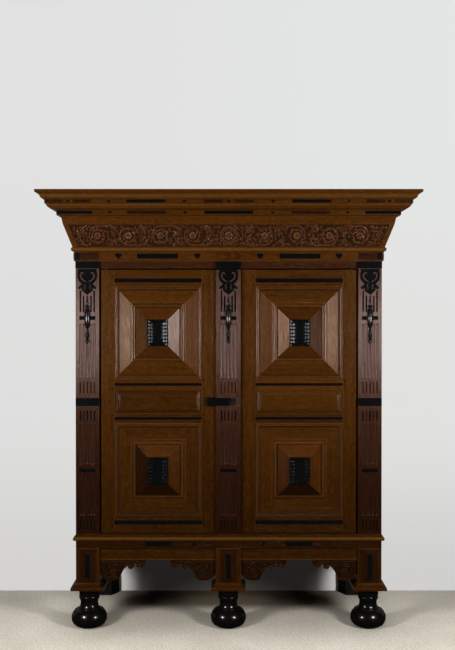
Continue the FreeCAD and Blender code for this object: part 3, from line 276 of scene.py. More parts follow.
def select_whole() -> None:
    """Select all of the mesh under edit."""
    bpy.ops.mesh.select_all(action="SELECT")


def face_outward() -> None:
    """Turn the selected faces outwards."""
    bpy.ops.mesh.normals_make_consistent(inside=False)


def weld(near: float = 1e-6) -> None:
    """Merge the selected points that lie nearer than a distance in metres."""
    bpy.ops.mesh.remove_doubles(threshold=near)


def shade(sharp: float) -> None:
    """Shade the selected piece smooth, but for its arrises over an angle in degrees."""
    bpy.ops.object.shade_smooth_by_angle(angle=math.radians(sharp))


def pick_faces(piece: Object, test: Callable[[bmesh.types.BMFace], bool]) -> None:
    """Open a piece in edit mode with the faces selected that pass a test.

    Args:
        piece: The object to edit.
        test: Whether a face is selected.
    """
    mesh = editing(piece)
    for face in mesh.faces:
        face.select_set(test(face))
    bmesh.update_edit_mesh(piece.data)


def done(piece: Object) -> Object:
    """Leave edit mode."""
    bpy.ops.object.mode_set(mode="OBJECT")
    return piece


def inset(steps: Sequence[Pair]) -> None:
    """Inset the selected face by the width and the rise of each step."""
    for width, rise in steps:
        bpy.ops.mesh.inset(thickness=max(width, 0.01) * MM, depth=rise * MM, use_even_offset=True)


def raised_board(low: Sequence[float], high: Sequence[float],
                 steps: Sequence[Pair]) -> Object:
    """Make a board whose front face is worked inwards in mitred steps.

    Args:
        low: The lowest corner.
        high: The highest corner.
        steps: The width and the rise of each step from the edge.

    Returns:
        The new object.
    """
    board = block(low, high)
    pick_faces(board, lambda face: face.normal.y < -0.9)
    inset(steps)
    return done(board)


def mitred_frame(low: Sequence[float], high: Sequence[float], front: float, back: float,
                 steps: Sequence[Pair]) -> Object:
    """Make a mitred frame of four mouldings in the plane of the front.

    Args:
        low: The lowest x and z.
        high: The highest x and z.
        front: The y at which the profile starts.
        back: The y of its flat back.
        steps: The width and the rise of each step of the profile.

    Returns:
        The new object.
    """
    blank = block((low[0], front, low[1]), (high[0], back, high[1]))
    pick_faces(blank, lambda face: face.normal.y > -0.9)
    bpy.ops.mesh.delete(type="FACE")
    select_whole()
    inset(steps)
    bpy.ops.mesh.delete(type="FACE")
    return close_back(done(blank), Vector((0, back * MM, 0)), 1)


def close_back(sheet: Object, level: Vector, axis: int) -> Object:
    """Give an open sheet a flat back, so that it is closed all round.

    Args:
        sheet: The sheet, whose faces point away from the back.
        level: A point of the back's plane.
        axis: The axis across the back.

    Returns:
        The same object, closed.
    """
    edit_whole(sheet)
    bpy.ops.mesh.extrude_region_move()
    bpy.ops.mesh.select_all(action="INVERT")
    scale = [1, 1, 1]
    scale[axis] = 0
    bpy.ops.transform.resize(value=scale, center_override=level)
    select_whole()
    face_outward()
    return done(sheet)


def worked_sheet(columns: int, rows: int, shape: Callable[[float, float], Point]) -> Object:
    """Add a grid and work it into a surface.

    Args:
        columns: How many faces lie along it.
        rows: How many faces lie across it.
        shape: The place of the point (u, v), both from 0 to 1.

    Returns:
        The new object.
    """
    sheet = added("grid", x_subdivisions=columns, y_subdivisions=rows, size=1)
    for vertex in sheet.data.vertices:
        vertex.co = Vector(shape(vertex.co.x + 0.5, vertex.co.y + 0.5)) * MM
    return sheet


def lathe(profile: Sequence[Pair], centre: Point, turn: float = 360,
          steps: int = 48) -> Object:
    """Turn a profile about an upright line.

    Args:
        profile: The radius and height of each point, from one end to the other.
        centre: The line's foot.
        turn: The angle of the turn, from the right towards the front.
        steps: How many faces go round.

    Returns:
        The new object.
    """
    mesh = bpy.data.meshes.new("turning")
    points = [Vector((r, 0, z)) * MM for r, z in profile]
    mesh.from_pydata(points, [(i, i + 1) for i in range(len(points) - 1)], [])
    turning = linked("turning", mesh)
    edit_whole(turning)
    bpy.ops.mesh.spin(steps=steps, angle=math.radians(turn), center=(0, 0, 0), axis=(0, 0, 1))
    select_whole()
    weld()
    if turn < 360:
        bpy.ops.mesh.select_all(action="DESELECT")
        bpy.ops.mesh.select_mode(type="EDGE")
        bpy.ops.mesh.select_non_manifold()
        bpy.ops.mesh.edge_face_add()
        select_whole()
    face_outward()
    done(turning)
    turning.location = mm(*centre)
    settle(turning)
    shade(40)
    return turning


def smooth_line(points: Sequence[Pair], count: int) -> list[Vector]:
    """Run a smooth line through flat points.

    Args:
        points: The points that the line goes through.
        count: How many pieces each span gets.

    Returns:
        The line's points.
    """
    ends = [points[0], *points, points[-1]]
    line = []
    for i in range(1, len(ends) - 2):
        a, b, c, d = (Vector(p) for p in ends[i - 1:i + 3])
        for k in range(count):
            t = k / count
            line.append(0.5 * (2 * b + (c - a) * t + (2 * a - 5 * b + 4 * c - d) * t * t
                + (3 * b - a - 3 * c + d) * t ** 3))
    return [*line, Vector(points[-1])]


def band_outline(line: Sequence[Vector], half: float) -> list[Vector]:
    """The outline of a band along a line, narrower towards its ends.

    Args:
        line: The middle of the band.
        half: Half its width at the middle.

    Returns:
        A closed outline.
    """
    left, right = [], []
    last = len(line) - 1
    for i, point in enumerate(line):
        ahead = (line[min(i + 1, last)] - line[max(i - 1, 0)]).normalized()
        side = Vector((-ahead.y, ahead.x)) * half * (0.45 + 0.55 * math.sin(math.pi * i / last))
        left.append(point + side)
        right.append(point - side)
    return left + right[::-1]


def curve_mesh(name: str, lines: Sequence[Sequence[Sequence[float]]],
               radii: Sequence[float] = (), **settings: object) -> Object:
    """Draw lines flat on the floor as one curve and turn it into a mesh.

    Args:
        name: The name of the curve.
        lines: The points of each line.
        radii: The radius at each point of an open line; without them the lines are closed.
        **settings: The settings of the curve.

    Returns:
        The mesh.
    """
    curve = bpy.data.curves.new(name, "CURVE")
    for key, value in settings.items():
        setattr(curve, key, value)
    for line in lines:
        spline = curve.splines.new("POLY")
        spline.points.add(len(line) - 1)
        for point, place in zip(spline.points, line):
            point.co = (place[0] * MM, place[1] * MM, 0, 1)
        for point, radius in zip(spline.points, radii):
            point.radius = radius
        spline.use_cyclic_u = not radii
    alone(linked(name, curve))
    bpy.ops.object.convert(target="MESH")
    return bpy.context.object


def fretwork(outlines: Sequence[Sequence[Vector]], thickness: float, arris: float) -> Object:
    """Saw a plate to an outline and pierce it, flat on the floor.

    Args:
        outlines: The outer outline and those of the piercings.
        thickness: The plate's thickness.
        arris: The round of its edges.

    Returns:
        The plate as a mesh, its middle plane at height 0.
    """
    plate = curve_mesh("fretwork", outlines, dimensions="2D", fill_mode="BOTH",
        extrude=thickness / 2 * MM)
    edit_whole(plate)
    weld()
    bpy.ops.mesh.dissolve_limited(angle_limit=math.radians(1))
    face_outward()
    return soften(done(plate), arris, 2, 50)


def stand_up(piece: Object, x: float, y: float, z: float) -> Object:
    """Stand flat work up at a place of the front, its face forwards."""
    piece.data.transform(Matrix.Translation(mm(x, y, z)) @ Matrix.Rotation(QUARTER, 4, "X"))
    return piece


def rope(line: Sequence[Sequence[float]], radii: Sequence[float], sides: int = 3,
         flat: float = 0.8) -> Object:
    """Lay a round carved stem along a line.

    Args:
        line: Its points, flat on the ground.
        radii: The stem's radius at each point.
        sides: How fine its round is.
        flat: How high it stands for its width.

    Returns:
        The stem as a mesh.
    """
    stem = curve_mesh("stem", [line], radii, dimensions="3D", bevel_depth=MM,
        bevel_resolution=sides, use_fill_caps=True)
    for vertex in stem.data.vertices:
        vertex.co.z *= flat
    bpy.ops.object.shade_smooth()
    return stem


def spiral(centre: Pair, start: float, end: float, first: float, turns: float,
           count: int = 40) -> list[Pair]:
    """The points of a spiral.

    Args:
        centre: Its middle.
        start: The radius at its beginning.
        end: The radius at its end.
        first: The angle at which it begins, in degrees.
        turns: How many turns it makes, negative for clockwise.
        count: How many points it has.

    Returns:
        The points.
    """
    points = []
    for i in range(count + 1):
        t = i / count
        radius = start + (end - start) * t ** 0.8
        angle = math.radians(first) + 2 * math.pi * turns * t
        points.append((centre[0] + radius * math.cos(angle), centre[1] + radius * math.sin(angle)))
    return points


def copied(piece: Object, matrix: Matrix) -> Object:
    """Copy a piece with a mesh of its own to another place.

    Args:
        piece: The object to copy.
        matrix: The move from the first to the copy.

    Returns:
        The copy.
    """
    copy = piece.copy()
    copy.data = piece.data.copy()
    copy.data.transform(matrix)
    if matrix.determinant() < 0:
        copy.data.flip_normals()
    bpy.context.scene.collection.objects.link(copy)
    return copy


def laid(x: float, y: float, turn: float, size: float) -> Matrix:
    """The move that lays flat carving at a place, turned in degrees and scaled."""
    return (Matrix.Translation(mm(x, y, 0)) @ Matrix.Rotation(math.radians(turn), 4, "Z")
        @ Matrix.Scale(size, 4))


def bead(x: float, y: float, radius: float) -> Object:
    """Carve a bead, flattened on the ground.

    Args:
        x: Its place.
        y: The same.
        radius: Its radius.

    Returns:
        The bead.
    """
    ball = added("uv_sphere", segments=16, ring_count=8, radius=radius * MM, location=mm(x, y, 0),
        scale=(1, 1, 0.7))
    bpy.ops.object.shade_smooth()
    return ball


def sound(*nodes: str) -> Object:
    """Copy solids of the frame into one piece with whole faces.

    Args:
        *nodes: The names of the solids.

    Returns:
        The new object.
    """
    piece = join([linked(name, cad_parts[name].data.copy()) for name in nodes])
    piece.data.materials.clear()
    bpy.ops.mesh.customdata_custom_splitnormals_clear()
    edit_whole(piece)
    weld(1e-5)
    bpy.ops.mesh.dissolve_limited(angle_limit=math.radians(0.6))
    return done(piece)


# ---------- grain

HEART_AWAY = (0.05, 0.16)
HEART_SPREAD = 0.22
ARRIS_WIDTH = 2.2


def part_numbers(mesh: Mesh) -> list[int]:
    """Number each face of a mesh by the board that it belongs to.

    Args:
        mesh: The mesh, whose boards don't share points.

    Returns:
        A number for each face.
    """
    parent = list(range(len(mesh.vertices)))

    def root(i: int) -> int:
        """Find the first point of the board that a point belongs to.

        Args:
            i: The number of the point.

        Returns:
            The number of the first point.
        """
        while parent[i] != i:
            parent[i] = parent[parent[i]]
            i = parent[i]
        return i

    for edge in mesh.edges:
        a, b = (root(v) for v in edge.vertices)
        parent[a] = b
    roots: dict[int, int] = {}
    return [roots.setdefault(root(face.vertices[0]), len(roots)) for face in mesh.polygons]


def board_boxes(mesh: Mesh, numbers: Sequence[int]) -> dict[int, tuple[Vector, Vector]]:
    """Measure each board of a mesh.

    Args:
        mesh: The mesh.
        numbers: The number of the board of each face.

    Returns:
        The lowest and the highest corner of each board.
    """
    boxes: dict[int, tuple[Vector, Vector]] = {}
    for face, number in zip(mesh.polygons, numbers):
        for index in face.vertices:
            place = mesh.vertices[index].co
            low, high = boxes.get(number, (place, place))
            boxes[number] = (Vector(map(min, low, place)), Vector(map(max, high, place)))
    return boxes


def face_axis(face: bpy.types.MeshPolygon, low: Vector, high: Vector,
              grain: Grain) -> tuple[int, int]:
    """Find the way of the grain in one face.

    Args:
        face: The face.
        low: The lowest corner of its board.
        high: The highest corner.
        grain: How the grain lies.

    Returns:
        The axis, and the number of the member that the face belongs to.
    """
    if grain is Grain.UPRIGHT:
        return 2, 0
    if grain is Grain.ACROSS:
        return 0, 0
    if grain is Grain.RUN:
        if abs(face.normal.x) > abs(face.normal.y) + 0.1:
            return 1, 1 if face.normal.x > 0 else 2
        return 0, 0
    if grain is Grain.MITRE:
        to_side = min(face.center.x - low.x, high.x - face.center.x)
        to_end = min(face.center.z - low.z, high.z - face.center.z)
        if to_side < to_end:
            return 2, 1 if face.center.x > (low.x + high.x) / 2 else 2
        return 0, 3 if face.center.z > (low.z + high.z) / 2 else 4
    size = high - low
    return max(range(3), key=lambda i: size[i]), 0


def write_faces(mesh: Mesh, name: str, values: Sequence[float], kind: str = "FLOAT") -> None:
    """Write into each face of a mesh its number, or its three where the kind is a vector."""
    field = "vector" if kind == "FLOAT_VECTOR" else "value"
    mesh.attributes.new(name, kind, "FACE").data.foreach_set(field, values)


def lay_grain(piece: Object, grain: Grain, seed: int) -> None:
    """Write into each face which way its wood grew and which board it is.

    Args:
        piece: The object, with its final mesh.
        grain: How the grain lies.
        seed: What its boards are drawn by.
    """
    mesh = piece.data
    numbers = part_numbers(mesh)
    boxes = board_boxes(mesh, numbers)
    ways, hearts, boards, members = [], [], [], []
    for face, number in zip(mesh.polygons, numbers):
        low, high = boxes[number]
        axis, member = face_axis(face, low, high, grain)
        draw = random.Random(f"{seed} {number} {member}")
        size = high - low
        across = sorted((i for i in range(3) if i != axis), key=lambda i: size[i])
        heart = (low + high) / 2
        heart[across[0]] += ((HEART_AWAY[0]
            + HEART_AWAY[1] * draw.random()) * draw.choice((-1, 1)))
        heart[across[1]] += (0.5 - draw.random()) * HEART_SPREAD
        ways += [float(i == axis) for i in range(3)]
        hearts += heart[:]
        boards.append(draw.random())
        members.append((number, member))
    write_faces(mesh, "grain", ways, "FLOAT_VECTOR")
    write_faces(mesh, "heart", hearts, "FLOAT_VECTOR")
    write_faces(mesh, "board", boards)
    if grain is Grain.MITRE:
        sharpen_mitres(mesh, members)


def sharpen_mitres(mesh: Mesh, members: Sequence[tuple[int, int]]) -> None:
    """Keep the arris crisp where two members meet.

    Args:
        mesh: The mesh.
        members: The board and the member of each face.
    """
    sides: dict[tuple[int, int], tuple[int, int]] = {}
    for face, member in zip(mesh.polygons, members):
        for key in face.edge_keys:
            if sides.setdefault(key, member) != member:
                sides[key] = (-1, -1)
    for edge in mesh.edges:
        if sides.get(edge.key) == (-1, -1):
            edge.use_edge_sharp = True


def mark_arrises(mesh: Mesh, width: float = ARRIS_WIDTH) -> None:
    """Mark the faces that are narrow enough to be an arris or part of carving.

    Args:
        mesh: The mesh to mark.
        width: The most that such a face measures across.
    """
    slim = []
    for face in mesh.polygons:
        around = [mesh.vertices[i].co for i in face.vertices]
        longest = max((a - b).length for a, b in zip(around, around[1:] + around[:1]))
        slim.append(float(face.area < longest * width * MM))
    write_faces(mesh, "arris", slim)


def shade_boards(piece: Object, rule: Callable[[Vector, Vector], float]) -> None:
    """Write into each face how much lighter its board is, by its place and its normal: the boards'
    own tone, and painted light and shade where the rule gives it.
    """
    tones_and_light = [rule(face.center / MM, face.normal) for face in piece.data.polygons]
    write_faces(piece.data, "tone_and_light", tones_and_light)


def deliver(piece: Object, name: str, body: Body, slot: Slot, finish: Material,
            nodes: Sequence[str] = (), grain: Grain | None = None) -> Object:
    """Finish a piece and hand it to the body that carries it.

    Args:
        piece: The object, in place.
        name: Its name.
        body: The body that it rides on.
        slot: The record's finish; not used.
        finish: Its material.
        nodes: The solids that it stands for.
        grain: How its grain lies, or None where it has none.

    Returns:
        The same object.
    """
    piece.name = name
    piece.data.name = name
    piece.data.materials.clear()
    piece.data.materials.append(finish)
    mark_arrises(piece.data)
    if grain is not None:
        lay_grain(piece, grain, sum(ord(letter) * 31 ** (i % 5) for i, letter in enumerate(name)))
    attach(piece, body.value)
    if nodes:
        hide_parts(*nodes)
    LOG.info("%s: %d faces, rides on %s", name, len(piece.data.polygons), body.value)
    return piece


def planed(node: str, name: str, body: Body, slot: Slot, finish: Material,
           grain: Grain | None = None, **arris: float) -> Object:
    """Deliver a solid of the frame as a piece, with its arrises softened."""
    return deliver(soften(sound(node), **arris), name, body, slot, finish, [node], grain)


# ---------- materials


class Wires:
    """A node tree and the short way to grow it."""

    def __init__(self, tree: NodeTree) -> None:
        """Start with a tree."""
        self.tree = tree

    def connect(self, node: Node, inputs: dict) -> Node:
        """Give the inputs of a node their values and links.

        Args:
            node: The node.
            inputs: A value or a socket for each of its inputs.

        Returns:
            The same node.
        """
        for key, value in inputs.items():
            socket = node.inputs[key]
            if isinstance(value, Socket):
                self.tree.links.new(value, socket)
            else:
                socket.default_value = (*value, 1) if socket.type == "RGBA" else value
        return node

    def node(self, kind: str, inputs: dict | None = None, **settings: object) -> Node:
        """Add a node.

        Args:
            kind: The node's type.
            inputs: A value or a socket for each of its inputs.
            **settings: Its settings.

        Returns:
            The node.
        """
        made = self.tree.nodes.new(kind)
        for name, value in settings.items():
            setattr(made, name, value)
        return self.connect(made, inputs or {})

    def group(self, tree: NodeTree, inputs: dict) -> Sockets:
        """Add a shared effect and give its outputs."""
        return self.node("ShaderNodeGroup", inputs, node_tree=tree).outputs

    def math(self, operation: str, a: object, b: object = 0, clamp: bool = False) -> Socket:
        """One sum of two values."""
        return self.node("ShaderNodeMath", {0: a, 1: b}, operation=operation,
            use_clamp=clamp).outputs[0]

    def times(self, a: object, b: object) -> Socket:
        """The product of two values."""
        return self.math("MULTIPLY", a, b)

    def plus(self, a: object, b: object) -> Socket:
        """The sum of two values."""
        return self.math("ADD", a, b)

    def minus(self, a: object, b: object) -> Socket:
        """The difference of two values."""
        return self.math("SUBTRACT", a, b)

    def vector(self, operation: str, a: object, b: object = (0, 0, 0),
               output: str = "Vector") -> Socket:
        """One sum of two vectors."""
        inputs = {0: a, 1: b} if operation != "SCALE" else {0: a, "Scale": b}
        return self.node("ShaderNodeVectorMath", inputs, operation=operation).outputs[output]

    def moved(self, a: object, b: object) -> Socket:
        """The sum of two vectors."""
        return self.vector("ADD", a, b)

    def scaled(self, a: object, share: object) -> Socket:
        """A vector times a number."""
        return self.vector("SCALE", a, share)

    def blend(self, factor: object, a: object, b: object, mode: str = "MIX") -> Socket:
        """Blend two colours."""
        return self.node("ShaderNodeMix", {0: factor, 6: a, 7: b}, data_type="RGBA",
            blend_type=mode, clamp_factor=True).outputs[2]

    def between(self, value: object, low: float, high: float, to_low: float = 0,
                to_high: float = 1) -> Socket:
        """Map a value from one range to another, smoothly and within it."""
        return self.node("ShaderNodeMapRange", {0: value, 1: low, 2: high, 3: to_low, 4: to_high},
            interpolation_type="SMOOTHSTEP").outputs[0]

    def noise(self, vector: object, scale: float, detail: float = 4, rough: float = 0.55,
              output: int = 0) -> Socket:
        """Noise at a scale."""
        return self.node("ShaderNodeTexNoise",
            {"Vector": vector, "Scale": scale, "Detail": detail,
            "Roughness": rough}).outputs[output]

    def attribute(self, name: str, output: str = "Fac") -> Socket:
        """What is written into the faces under a name."""
        return self.node("ShaderNodeAttribute", attribute_name=name).outputs[output]

    def split(self, vector: object) -> list[Socket]:
        """The three parts of a vector."""
        return list(self.node("ShaderNodeSeparateXYZ", {0: vector}).outputs)

    def place(self) -> Socket:
        """The place on the cupboard."""
        return self.node("ShaderNodeTexCoord").outputs["Object"]

    def bump(self, height: object, strength: float, distance: float) -> Socket:
        """Relief on a surface."""
        return self.node("ShaderNodeBump",
            {"Height": height, "Strength": strength, "Distance": distance}).outputs[0]

    def mixed(self, factor: object, a: Node, b: Node) -> Node:
        """Blend two shaders."""
        return self.node("ShaderNodeMixShader", {0: factor, 1: a.outputs[0], 2: b.outputs[0]})


def effect(name: str, inputs: dict[str, Colour | float],
           outputs: Sequence[str]) -> tuple[Wires, Sockets, Node]:
    """Start a node group.

    Args:
        name: The group's name.
        inputs: The usual value of each input.
        outputs: The name of each output; Color is a colour and the others are numbers.

    Returns:
        The wires, the sockets that bring the inputs, and the output node.
    """
    tree = bpy.data.node_groups.new(name, "ShaderNodeTree")
    colour, number = "NodeSocketColor", "NodeSocketFloat"
    for label, value in inputs.items():
        kind = colour if isinstance(value, tuple) else number
        socket = tree.interface.new_socket(name=label, in_out="INPUT", socket_type=kind)
        socket.default_value = (*value, 1) if isinstance(value, tuple) else value
    for label in outputs:
        kind = colour if label == "Color" else number
        tree.interface.new_socket(name=label, in_out="OUTPUT", socket_type=kind)
    wires = Wires(tree)
    return wires, wires.node("NodeGroupInput").outputs, wires.node("NodeGroupOutput")


@dataclass
class Effects:
    """The effects that several finishes share."""

    timber: NodeTree
    wear_and_shade: NodeTree
    polish: NodeTree

    @classmethod
    def build(cls) -> "Effects":
        """Make each effect once."""
        return cls(cls.make_timber(), cls.make_wear_and_shade(), cls.make_polish())

    @staticmethod
    def make_timber() -> NodeTree:
        """Wire grain that follows each board: growth rings, streaks, fibres and pores, darkened
        towards the bottom by painted shade and toned by each face's written tone, which on the
        panels carries painted light and shade.

        Returns:
            The effect.
        """
        w, given, result = effect("timber",
            {"Light": (0.3, 0.15, 0.05), "Dark": (0.1, 0.04, 0.01), "Red": (0.2, 0.07, 0.02),
            "Ring": 0.007, "Figure": 0.5, "Pores": 0.5, "Age": 0.5}, ("Color", "Height", "Rough"))
        way, board = w.attribute("grain", "Vector"), w.attribute("board")
        shift = w.scaled((37, 91, 53), board)
        away = w.vector("SUBTRACT", w.place(), w.attribute("heart", "Vector"))
        run = w.scaled(way, w.vector("DOT_PRODUCT", away, way, "Value"))
        across = w.vector("SUBTRACT", away, run)
        spot = w.moved(away, shift)
        long, fine, short = (w.moved(w.moved(across, w.scaled(run, share)), shift)
            for share in (0.055, 0.02, 0.45))
        drift = w.vector("SUBTRACT", w.noise(spot, 3.2, 2, 0.5, 1), (0.5, 0.5, 0.5))
        bent = w.moved(across, w.scaled(drift, 0.045))
        rings = w.math("DIVIDE", w.vector("LENGTH", bent, output="Value"), given["Ring"])
        late = w.math("POWER", w.math("FRACT", w.plus(rings, w.noise(long, 60, 2))), 2.2)
        streak = w.noise(long, 55, 6, 0.66)
        fibre = w.noise(long, 520, 3, 0.6)
        cloud = w.noise(spot, 2.4, 3, 0.55)
        speck = w.noise(short, 95, 3, 0.65)
        pore = w.times(w.between(w.noise(fine, 900, 2, 0.5), 0.6, 0.72), given["Pores"])
        stroke = w.moved(w.scaled(run, 0.3), w.scaled(across, 0.9))
        fleck = w.between(w.noise(stroke, 160, 2), 0.66, 0.74)
        value = w.times(w.between(streak, 0.3, 0.7), 0.36)
        for part, share in ((cloud, 0.06), (fibre, 0.12), (speck, 0.44)):
            value = w.plus(value, w.times(w.between(part, 0.34, 0.66), share))
        value = w.math("SUBTRACT", value, w.times(late, given["Figure"]), clamp=True)
        value = w.math("ADD", value, w.times(fleck, 0.10), clamp=True)
        colour = w.blend(value, given["Dark"], given["Light"])
        reddish = w.between(w.noise(spot, 1.1, 2), 0.35, 0.7, 0, 0.6)
        colour = w.blend(w.times(reddish, board), colour, given["Red"])
        # Darker towards the bottom: painted shade of the light falling off lower down.
        painted_bottom_shade = w.times(w.between(w.split(w.place())[2], 1.35, 0.45), given["Age"])
        tone_and_light = w.times(w.between(board, 0, 1, 0.84, 1.14), w.minus(1, painted_bottom_shade))
        # The written tone: each board's own tone, and on the panels painted light and shade by
        # facing.
        tone_and_light = w.times(tone_and_light, w.plus(1, w.attribute("tone_and_light")))
        grey = w.node("ShaderNodeCombineColor", {0: tone_and_light, 1: tone_and_light, 2: tone_and_light}).outputs[0]
        colour = w.blend(1, colour, grey, "MULTIPLY")
        colour = w.blend(w.times(pore, 0.55), colour, (0.02, 0.009, 0.004))
        height = w.plus(w.times(fibre, 0.25), w.times(speck, 0.55))
        height = w.minus(height, w.times(pore, 0.8))
        height = w.minus(height, w.times(late, 0.12))
        patchy = w.plus(w.times(streak, 0.4), w.times(speck, 0.6))
        w.connect(result, {"Color": colour, "Height": height, "Rough": patchy})
        return w.tree

    @staticmethod
    def make_wear_and_shade() -> NodeTree:
        """Wire rubbed arrises, and old wax, dirt and painted shade darkening the corners and
        creases.

        Returns:
            The effect.
        """
        w, given, result = effect("wear_and_shade",
            {"Color": (0.5, 0.5, 0.5), "Rubbed": (0.4, 0.25, 0.1), "Dirt and shade": (0.02, 0.01, 0.005),
            "Rub": 0.5, "Shade and dirt strength": 0.6, "Reach": 0.02}, ("Color", "Dirt and shade"))
        pointed = w.node("ShaderNodeNewGeometry").outputs["Pointiness"]
        arris = w.attribute("arris")
        patch = w.noise(w.place(), 70, 4, 0.6)
        rub = w.times(w.between(pointed, 0.51, 0.58), w.between(patch, 0.35, 0.65, 0.6, 1))
        rub = w.times(w.times(rub, arris), given["Rub"])
        # Ambient occlusion and concave creases darken the colour: painted shade in corners and
        # hollows, together with dirt.
        open_sky = w.node("ShaderNodeAmbientOcclusion", {"Distance": given["Reach"]}, samples=6,
            only_local=False).outputs["AO"]
        sunk = w.times(w.between(pointed, 0.49, 0.42), arris)
        dirt_and_shade = w.math("MAXIMUM", w.between(open_sky, 0.9, 0.35), sunk)
        dirt_and_shade = w.times(dirt_and_shade, w.between(patch, 0.2, 0.6, 0.8, 1))
        dirt_and_shade = w.math("MULTIPLY", dirt_and_shade, given["Shade and dirt strength"], clamp=True)
        colour = w.blend(rub, given["Color"], given["Rubbed"])
        colour = w.blend(dirt_and_shade, colour, given["Dirt and shade"])
        w.connect(result, {"Color": colour, "Dirt and shade": dirt_and_shade})
        return w.tree

    @staticmethod
    def make_polish() -> NodeTree:
        """Wire an uneven polish: how rough a wiped and handled surface is.

        Returns:
            The effect.
        """
        w, given, result = effect(
            "polish", {"Base": 0.35, "Spread": 0.15, "Dirt and shade": 0, "Fibre": 0.5},
            ("Rough", "Height"))
        cloud = w.noise(w.place(), 9, 5, 0.6)
        smear = w.noise(w.vector("MULTIPLY", w.place(), (3, 3, 0.8)), 60, 3, 0.5)
        both = w.plus(w.times(cloud, 0.6), w.times(smear, 0.4))
        both = w.plus(both, w.times(w.minus(given["Fibre"], 0.5), 0.8))
        rough = w.plus(w.times(w.minus(both, 0.5), given["Spread"]), given["Base"])
        rough = w.math("ADD", rough, w.times(given["Dirt and shade"], 0.35), clamp=True)
        w.connect(result, {"Rough": rough, "Height": w.noise(w.place(), 240, 3, 0.5)})
        return w.tree


def blank_material(name: str) -> tuple[Material, Wires, Node]:
    """Start a material.

    Args:
        name: Its name.

    Returns:
        The material, its wires and its main shader.
    """
    material = bpy.data.materials.new(name)
    material.use_nodes = True
    tree = material.node_tree
    return material, Wires(tree), tree.nodes["Principled BSDF"]


@dataclass(frozen=True)
class WoodFinish:
    """Waxed timber whose grain follows each board."""

    name: str
    light: Colour
    dark: Colour
    red: Colour
    rubbed: Colour
    # Dirt and painted shade darken the corners and hollows.
    dirt_and_shade_colour: Colour = (0.012, 0.006, 0.003)
    ring: float = 0.008
    figure: float = 0.08
    pores: float = 0.6
    rub: float = 0.5
    dirt_and_shade: float = 0.55
    reach: float = 0.010
    rough: float = 0.24
    spread: float = 0.22
    relief: float = 1
    age: float = 0.5
    gloss: float = 0.08
    brushed: float = 0.3
    amber: Colour = (1, 0.68, 0.50)

    def build(self, effects: Effects) -> Material:
        """Wire the finish.

        Args:
            effects: The shared effects.

        Returns:
            The material.
        """
        material, w, shader = blank_material(self.name)
        timber = w.group(effects.timber, {
            "Light": self.light, "Dark": self.dark, "Red": self.red, "Ring": self.ring,
            "Figure": self.figure, "Pores": self.pores, "Age": self.age})
        worn_and_shaded = w.group(effects.wear_and_shade, {
            "Color": timber["Color"], "Rubbed": self.rubbed, "Dirt and shade": self.dirt_and_shade_colour,
            "Rub": self.rub, "Shade and dirt strength": self.dirt_and_shade, "Reach": self.reach})
        polish = w.group(effects.polish,
            {"Base": self.rough, "Spread": self.spread, "Dirt and shade": worn_and_shaded["Dirt and shade"],
            "Fibre": timber["Rough"]})
        fibres = w.node("ShaderNodeVectorTransform", {0: w.attribute("grain", "Vector")},
            vector_type="VECTOR", convert_from="OBJECT", convert_to="WORLD")
        w.connect(shader, {
            "Base Color": worn_and_shaded["Color"], "Roughness": polish["Rough"],
            "Normal": w.bump(timber["Height"], self.relief, 0.0006),
            "Specular IOR Level": self.gloss, "Specular Tint": self.amber,
            "Tangent": fibres.outputs[0], "Anisotropic": self.brushed,
            "Anisotropic Rotation": 0.25})
        return material


@dataclass(frozen=True)
class PolishFinish:
    """A polished dark surface such as ebony, black lacquer or iron."""

    name: str
    colour: Colour
    streaks: Colour
    rubbed: Colour
    rough: float = 0.25
    spread: float = 0.15
    coat: float = 0.3
    metal: float = 0
    rub: float = 0.35
    # Dirt and painted shade darken the corners and hollows.
    dirt_and_shade: float = 0.3
    relief: float = 0.15
    stretch: Point = (30, 30, 6)
    gloss: float = 0.3
    dirt_and_shade_colour: Colour = (0.004, 0.003, 0.002)
    reach: float = 0.01
    coat_rough: float = 0.12

    def build(self, effects: Effects) -> Material:
        """Wire the finish.

        Args:
            effects: The shared effects.

        Returns:
            The material.
        """
        material, w, shader = blank_material(self.name)
        lines = w.noise(w.vector("MULTIPLY", w.place(), self.stretch), 3, 6, 0.65)
        ground = w.blend(w.between(lines, 0.42, 0.72), self.colour, self.streaks)
        worn_and_shaded = w.group(effects.wear_and_shade, {
            "Color": ground, "Rubbed": self.rubbed, "Dirt and shade": self.dirt_and_shade_colour, "Rub": self.rub,
            "Shade and dirt strength": self.dirt_and_shade, "Reach": self.reach})
        polish = w.group(effects.polish,
            {"Base": self.rough, "Spread": self.spread, "Dirt and shade": worn_and_shaded["Dirt and shade"]})
        w.connect(shader, {
            "Base Color": worn_and_shaded["Color"], "Roughness": polish["Rough"],
            "Normal": w.bump(polish["Height"], self.relief, 0.0004), "Metallic": self.metal,
            "Specular IOR Level": self.gloss, "Coat Weight": self.coat,
            "Coat Roughness": self.coat_rough})
        return material


